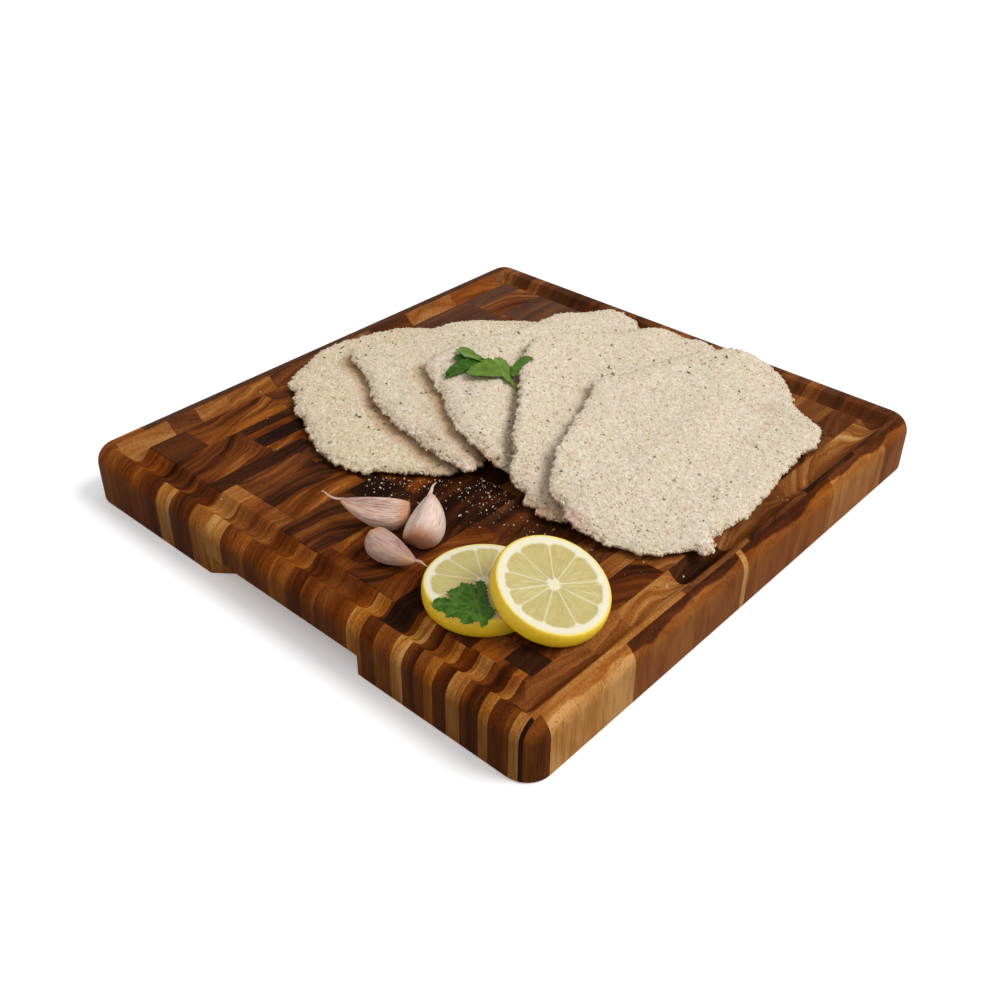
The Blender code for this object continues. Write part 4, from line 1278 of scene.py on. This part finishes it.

# The sprig's leaflets: outline, rib (from, to), lift above the meat at the rib's ends, and lightness, which holds each
# leaflet's own green together with painted shade and painted sheen.
SPRIG_LEAFLETS = [
    ([(-42.5, -17.5), (-46.3, -12.5), (-48, -6.5), (-47.8, -0.5), (-45.5, 6), (-42, 11), (-36, 15), (-37, 6),
      (-36.5, -3.5), (-38.8, -8.5), (-40.5, -13)],
     ((-38, 10), (-42.8, -16.5)), (1.9, 1.1), 0.12),
    ([(-55.7, 2.5), (-56, 7), (-52, 9.5), (-46, 6.2), (-46.4, 3.3), (-49.6, 1.6)],
     ((-46.5, 4.8), (-55.5, 4.5)), (2.0, 1.2), 0.0),
    ([(-61.5, 12), (-60.6, 17), (-55.4, 18), (-46.3, 16), (-40.6, 15), (-34.6, 14.3), (-36.5, 10.6), (-42.3, 8),
      (-47, 5.3), (-55.4, 9)],
     ((-36, 12.8), (-60.5, 14)), (2.6, 1.5), 0.62),
    ([(-26.8, 21.4), (-22, 22.5), (-13, 15.5), (-10.8, 9), (-19, 16)],
     ((-12, 11), (-25, 21)), (2.0, 1.5), 0.05),
    ([(-35, -5.7), (-37, 1), (-35, 7.7), (-33.6, 14), (-28, 14.2), (-21.8, 12.6), (-16.2, 7), (-19.5, 1),
      (-23.4, -5), (-27.8, -9), (-32, -8.5)],
     ((-16.5, 8), (-35, -3)), (2.4, 2.2), 0.52),
    ([(-35.4, 21), (-32.2, 22.8), (-26, 22.3), (-18.5, 18), (-10, 9), (-9.5, 5.7), (-16.4, 7.7), (-24.3, 10),
      (-29, 13.2)],
     ((-10, 7), (-34, 21.5)), (2.4, 2.8), 0.75),
    ([(-12.6, 11), (-17, 16.7), (-18.3, 24), (-17.5, 31), (-13.4, 34), (-12, 27.5), (-11.5, 19), (-10, 11)],
     ((-11.5, 12), (-14, 33)), (4.5, 1.5), 0.28),
]
SPRIG_STEMS = [[(-33, 14, 2.6), (-25, 12.5, 2.6), (-17, 10, 2.6), (-12.5, 9, 2.2), (-8, 8, 1.8), (-2.5, 7, 0.8)],
               [(-15.5, 14.5, 2.0), (-12.7, 11.3, 2.0), (-8, 8, 1.6)]]


class ParsleySettings(bpy.types.PropertyGroup):
    dark: bpy.props.FloatVectorProperty(
        name="Shaded green", description="Colour of the darkest leaf", subtype="COLOR", default=srgb(26, 74, 2))
    bright: bpy.props.FloatVectorProperty(
        name="Bright green", description="Colour of the lightest leaf", subtype="COLOR", default=srgb(128, 158, 66))
    thickness: bpy.props.FloatProperty(
        name="Thickness", description="Thickness of a leaf", default=0.0003, unit="LENGTH")
    cell: bpy.props.FloatProperty(
        name="Surface cell", description="Size of the faces of a leaf", default=0.0006, unit="LENGTH")


def serrated(outline, tooth, rng):
    """An outline in millimetres with small teeth along its edges."""
    points = []
    for here, there in zip(outline, outline[1:] + outline[:1]):
        here, there = Vector(here), Vector(there)
        length = (there - here).length
        count = max(int(length / 1.1), 1)
        out = Vector(((there - here).y, -(there - here).x)).normalized()
        for i in range(count):
            way = 1 if i % 2 else 0
            points.append(here.lerp(there, i / count) + out * tooth * way * rng.uniform(0.5, 1.2))
    return points


def leaf_sheet(outline, cell):
    """A flat sheet inside an outline in metres, cut into small faces."""
    bm = bmesh.new()
    bm.faces.new([bm.verts.new((x, y, 0)) for x, y in outline])
    bmesh.ops.triangulate(bm, faces=bm.faces)
    for axis in (0, 1):
        low = min(v.co[axis] for v in bm.verts)
        high = max(v.co[axis] for v in bm.verts)
        normal = Vector((1, 0, 0)) if axis == 0 else Vector((0, 1, 0))
        for i in range(1, int((high - low) / cell)):
            geom = list(bm.verts) + list(bm.edges) + list(bm.faces)
            bmesh.ops.bisect_plane(bm, geom=geom, dist=1e-6, plane_co=normal * (low + i * cell), plane_no=normal)
    bmesh.ops.dissolve_degenerate(bm, dist=1e-6, edges=bm.edges)
    if bm.faces and sum(f.normal.z for f in bm.faces) < 0:
        bmesh.ops.reverse_faces(bm, faces=bm.faces)
    return bm


def distance_to(x, y, start, end):
    """Distance in the plane from a point to a segment, and how far along it the nearest point is."""
    a, b, p = Vector(start), Vector(end), Vector((x, y))
    along = min(max((p - a).dot(b - a) / (b - a).length_squared, 0), 1)
    return (p - a.lerp(b, along)).length, along


def add_sheet(parts, bm, height, ribs, light):
    """Give a flat leaf its heights and attributes, and add it to the others."""
    start = len(parts["points"])
    bm.verts.index_update()
    for vert in bm.verts:
        x, y = vert.co.x / MM, vert.co.y / MM
        near = min(distance_to(x, y, a, b)[0] for a, b in ribs)
        parts["points"].append((vert.co.x, vert.co.y, height(x, y, near)))
        parts["rib"].append(math.exp(-(near / 0.45) ** 2))
        parts["light"].append(light)
    for face in bm.faces:
        parts["faces"].append([start + v.index for v in face.verts])
    bm.free()


def leaf_piece(name, parts, thickness, material):
    """One piece from its sheets, with a little thickness."""
    mesh = mesh_from(name, parts["points"], parts["faces"])
    set_attribute(mesh, "rib", "FLOAT", parts["rib"])
    set_attribute(mesh, "light", "FLOAT", parts["light"])
    piece = new_piece(name, mesh, [material])
    solid = piece.modifiers.new("thickness", "SOLIDIFY")
    solid.thickness = thickness
    solid.offset = 1.0
    apply_modifiers(piece)
    piece.data.shade_smooth()
    return piece


def parsley_material(settings):
    """Glossy green leaf with paler ribs."""
    material, n, shader = new_material("parsley_green", {
        "Roughness": 0.5, "Specular IOR Level": 0.12, "Subsurface Weight": 0.1, "Subsurface Scale": 0.001})
    patches = n.noise(n.place(), 260.0, 2.0, 0.6)
    # each leaf's lightness is partly its own green and partly painted shade and painted sheen
    light = n.attribute("light") + (patches - 0.5) * 0.7
    colour = n.mix(light.clamped(), tuple(settings.dark), tuple(settings.bright))
    colour = n.mix(n.attribute("rib") * 0.4, colour, srgb(110, 146, 40))
    height = n.noise(n.place(), 1500.0, 2.0, 0.5) - n.attribute("rib")
    shade(n, shader, Base_Color=colour, Normal=n.bump(height, 0.0003, 0.5))
    return material


class PLATTER_OT_parsley(bpy.types.Operator):
    """Make the parsley leaf on the lemon and the sprig on the meat"""
    bl_idname = "platter.parsley"
    bl_label = "Parsley"

    def execute(self, context):
        settings = context.scene.platter_parsley
        material = parsley_material(settings)
        rng = np.random.default_rng(12)

        on_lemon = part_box("lemon_slice_1")[1].z
        ribs = [(LEAF_STALK, end) for end in LEAF_RIBS]
        parts = {"points": [], "faces": [], "rib": [], "light": []}

        def leaf_height(x, y, near):
            away = math.hypot(x - LEAF_STALK[0], y - LEAF_STALK[1])
            fold = 0.22 * min(near, 3.0) - 0.2
            wave = 0.5 * noise.noise(Vector((x, y, 0)) * 0.22)
            past_edge = max(math.hypot(x - FLAT_SLICE["at"][0], y - FLAT_SLICE["at"][1]) - 29.5, 0)
            return on_lemon + (0.55 + fold * min(away / 6, 1) + wave + 0.03 * away - 0.25 * past_edge) * MM

        outline = [(x * MM, y * MM) for x, y in serrated(LEAF_OUTLINE, 0.95, rng)]
        add_sheet(parts, leaf_sheet(outline, settings.cell), leaf_height, ribs, 0.17)
        finish_piece(leaf_piece("leaf_on_lemon", parts, settings.thickness, material), "parsley", "parsley_leaf")

        below = trees_of(CUTLETS)
        parts = {"points": [], "faces": [], "rib": [], "light": []}
        for number, (outline, rib, lifts, light) in enumerate(SPRIG_LEAFLETS):

            base, tip = (top_height(below, x * MM, y * MM) + lift * MM for (x, y), lift in zip(rib, lifts))

            def leaflet_height(x, y, near, rib=rib, base=base, tip=tip, number=number):
                along = distance_to(x, y, *rib)[1]
                wave = 0.5 * noise.noise(Vector((x, y, number * 5)) * 0.25)
                straight = base + (tip - base) * along + (0.3 * near + wave) * MM
                return max(straight, top_height(below, x * MM, y * MM) + 0.7 * MM)

            edge = [(x * MM, y * MM) for x, y in serrated(outline, 0.3, rng)]
            add_sheet(parts, leaf_sheet(edge, settings.cell), leaflet_height, [rib], light)
        for path in SPRIG_STEMS:
            along = curve_through([(x, y, top_height(below, x * MM, y * MM) / MM + z) for x, y, z in path], 24)
            points, faces = tube(along, [0.5 + 0.6 * i / 23 for i in range(24)], 0.8)
            start = len(parts["points"])
            parts["points"] += [tuple(p * MM) for p in points]
            parts["faces"] += [tuple(start + v for v in face) for face in faces]
            parts["rib"] += [0.6] * len(points)
            parts["light"] += [0.7] * len(points)
        finish_piece(leaf_piece("sprig_on_meat", parts, settings.thickness, material), "parsley", "parsley_sprig")
        return {"FINISHED"}


# ---------------------------------------------------------------- the stage


class StageSettings(bpy.types.PropertyGroup):
    azimuth: bpy.props.FloatProperty(
        name="Azimuth", description="Turn of the camera about the platter, in degrees", default=41.47)
    elevation: bpy.props.FloatProperty(
        name="Elevation", description="Height of the camera above the platter, in degrees", default=34.917)
    roll: bpy.props.FloatProperty(name="Roll", description="Roll of the camera, in degrees", default=0.684)
    distance: bpy.props.FloatProperty(
        name="Distance", description="From the camera to its target", default=0.733, unit="LENGTH")
    target: bpy.props.FloatVectorProperty(
        name="Target", description="What the camera looks at", default=(0.011, -0.0242, 0.0), subtype="XYZ")
    lens: bpy.props.FloatProperty(name="Lens", description="Focal length in millimetres", default=41.93)
    key: bpy.props.FloatProperty(name="Key light", description="Strength of the main soft light", default=1.95)
    sky: bpy.props.FloatProperty(name="Sky", description="Strength of the even light all round", default=0.60)


def camera_axes(stage):
    """The camera's right, up and backward directions."""
    a, e, r = (math.radians(v) for v in (stage.azimuth, stage.elevation, stage.roll))
    back = Vector((math.sin(a) * math.cos(e), -math.cos(a) * math.cos(e), math.sin(e)))
    right = Vector((math.cos(a), math.sin(a), 0))
    up = back.cross(right)
    return math.cos(r) * right + math.sin(r) * up, math.cos(r) * up - math.sin(r) * right, back


def soft_sun(towards, spread, strength):
    """A distant soft light that shines from a direction."""
    data = bpy.data.lights.new("key", "SUN")
    data.angle = spread
    data.energy = strength
    light = bpy.data.objects.new("key", data)
    bpy.context.scene.collection.objects.link(light)
    light.rotation_euler = Vector(towards).to_track_quat("Z", "Y").to_euler()
    return light


class PLATTER_OT_stage(bpy.types.Operator):
    """Set up the pale floor, the soft light and the camera"""
    bl_idname = "platter.stage"
    bl_label = "Floor, light and camera"

    def execute(self, context):
        stage = context.scene.platter_stage
        scene = context.scene
        scene.view_settings.view_transform = "Standard"
        world = bpy.data.worlds.new("white room")
        world.use_nodes = True
        world.node_tree.nodes["Background"].inputs["Color"].default_value = (1.0, 1.0, 1.0, 1.0)
        world.node_tree.nodes["Background"].inputs["Strength"].default_value = stage.sky
        scene.world = world

        half = 3.0
        floor = new_piece("floor", mesh_from("floor", [
            (-half, -half, 0), (half, -half, 0), (half, half, 0), (-half, half, 0)], [(0, 1, 2, 3)]))
        paper, n, shader = new_material("white_paper", {
            "Roughness": 0.9, "Specular IOR Level": 0.0, "Emission Strength": 0.22,
            "Emission Color": (1.0, 1.0, 1.0, 1.0)})
        shade(n, shader, Base_Color=(0.97, 0.97, 0.97))
        floor.data.materials.append(paper)

        soft_sun((0.56, 0.34, 0.76), math.radians(30), stage.key)

        right, up, back = camera_axes(stage)
        camera = bpy.data.objects.new("camera", bpy.data.cameras.new("camera"))
        scene.collection.objects.link(camera)
        camera.data.lens = stage.lens
        camera.data.sensor_width = 36.0
        camera.data.clip_start = 0.01
        turn = Matrix((right, up, back)).transposed().to_4x4()
        camera.matrix_world = Matrix.Translation(Vector(stage.target) + back * stage.distance) @ turn
        scene.camera = camera
        return {"FINISHED"}


# ---------------------------------------------------------------- panel and registration

SETTINGS = {"platter_board": BoardSettings, "platter_breading": BreadingSettings, "platter_lemon": LemonSettings,
            "platter_garlic": GarlicSettings, "platter_parsley": ParsleySettings, "platter_stage": StageSettings}
OPERATORS = [PLATTER_OT_board, PLATTER_OT_schnitzels, PLATTER_OT_lemon, PLATTER_OT_garlic, PLATTER_OT_parsley,
             PLATTER_OT_stage]


class PLATTER_PT_panel(bpy.types.Panel):
    """Lists the platter's pieces and their sizes"""
    bl_label = "Schnitzel platter"
    bl_idname = "PLATTER_PT_panel"
    bl_space_type = "VIEW_3D"
    bl_region_type = "UI"
    bl_category = "Platter"

    def draw(self, context):
        for name in SETTINGS:
            box = self.layout.box()
            group = getattr(context.scene, name)
            for label in group.bl_rna.properties.keys():
                if label not in ("rna_type", "name"):
                    box.prop(group, label)
        for operator in OPERATORS:
            self.layout.operator(operator.bl_idname)


def register():
    for group in SETTINGS.values():
        bpy.utils.register_class(group)
    for operator in OPERATORS:
        bpy.utils.register_class(operator)
    bpy.utils.register_class(PLATTER_PT_panel)
    for name, group in SETTINGS.items():
        setattr(bpy.types.Scene, name, bpy.props.PointerProperty(type=group))


def unregister():
    for name in SETTINGS:
        delattr(bpy.types.Scene, name)
    bpy.utils.unregister_class(PLATTER_PT_panel)
    for operator in OPERATORS:
        bpy.utils.unregister_class(operator)
    for group in SETTINGS.values():
        bpy.utils.unregister_class(group)


def main():
    register()
    bpy.ops.platter.board()
    bpy.ops.platter.schnitzels()
    bpy.ops.platter.lemon()
    bpy.ops.platter.garlic()
    bpy.ops.platter.parsley()
    bpy.ops.platter.stage()


if __name__ == "__main__":
    main()
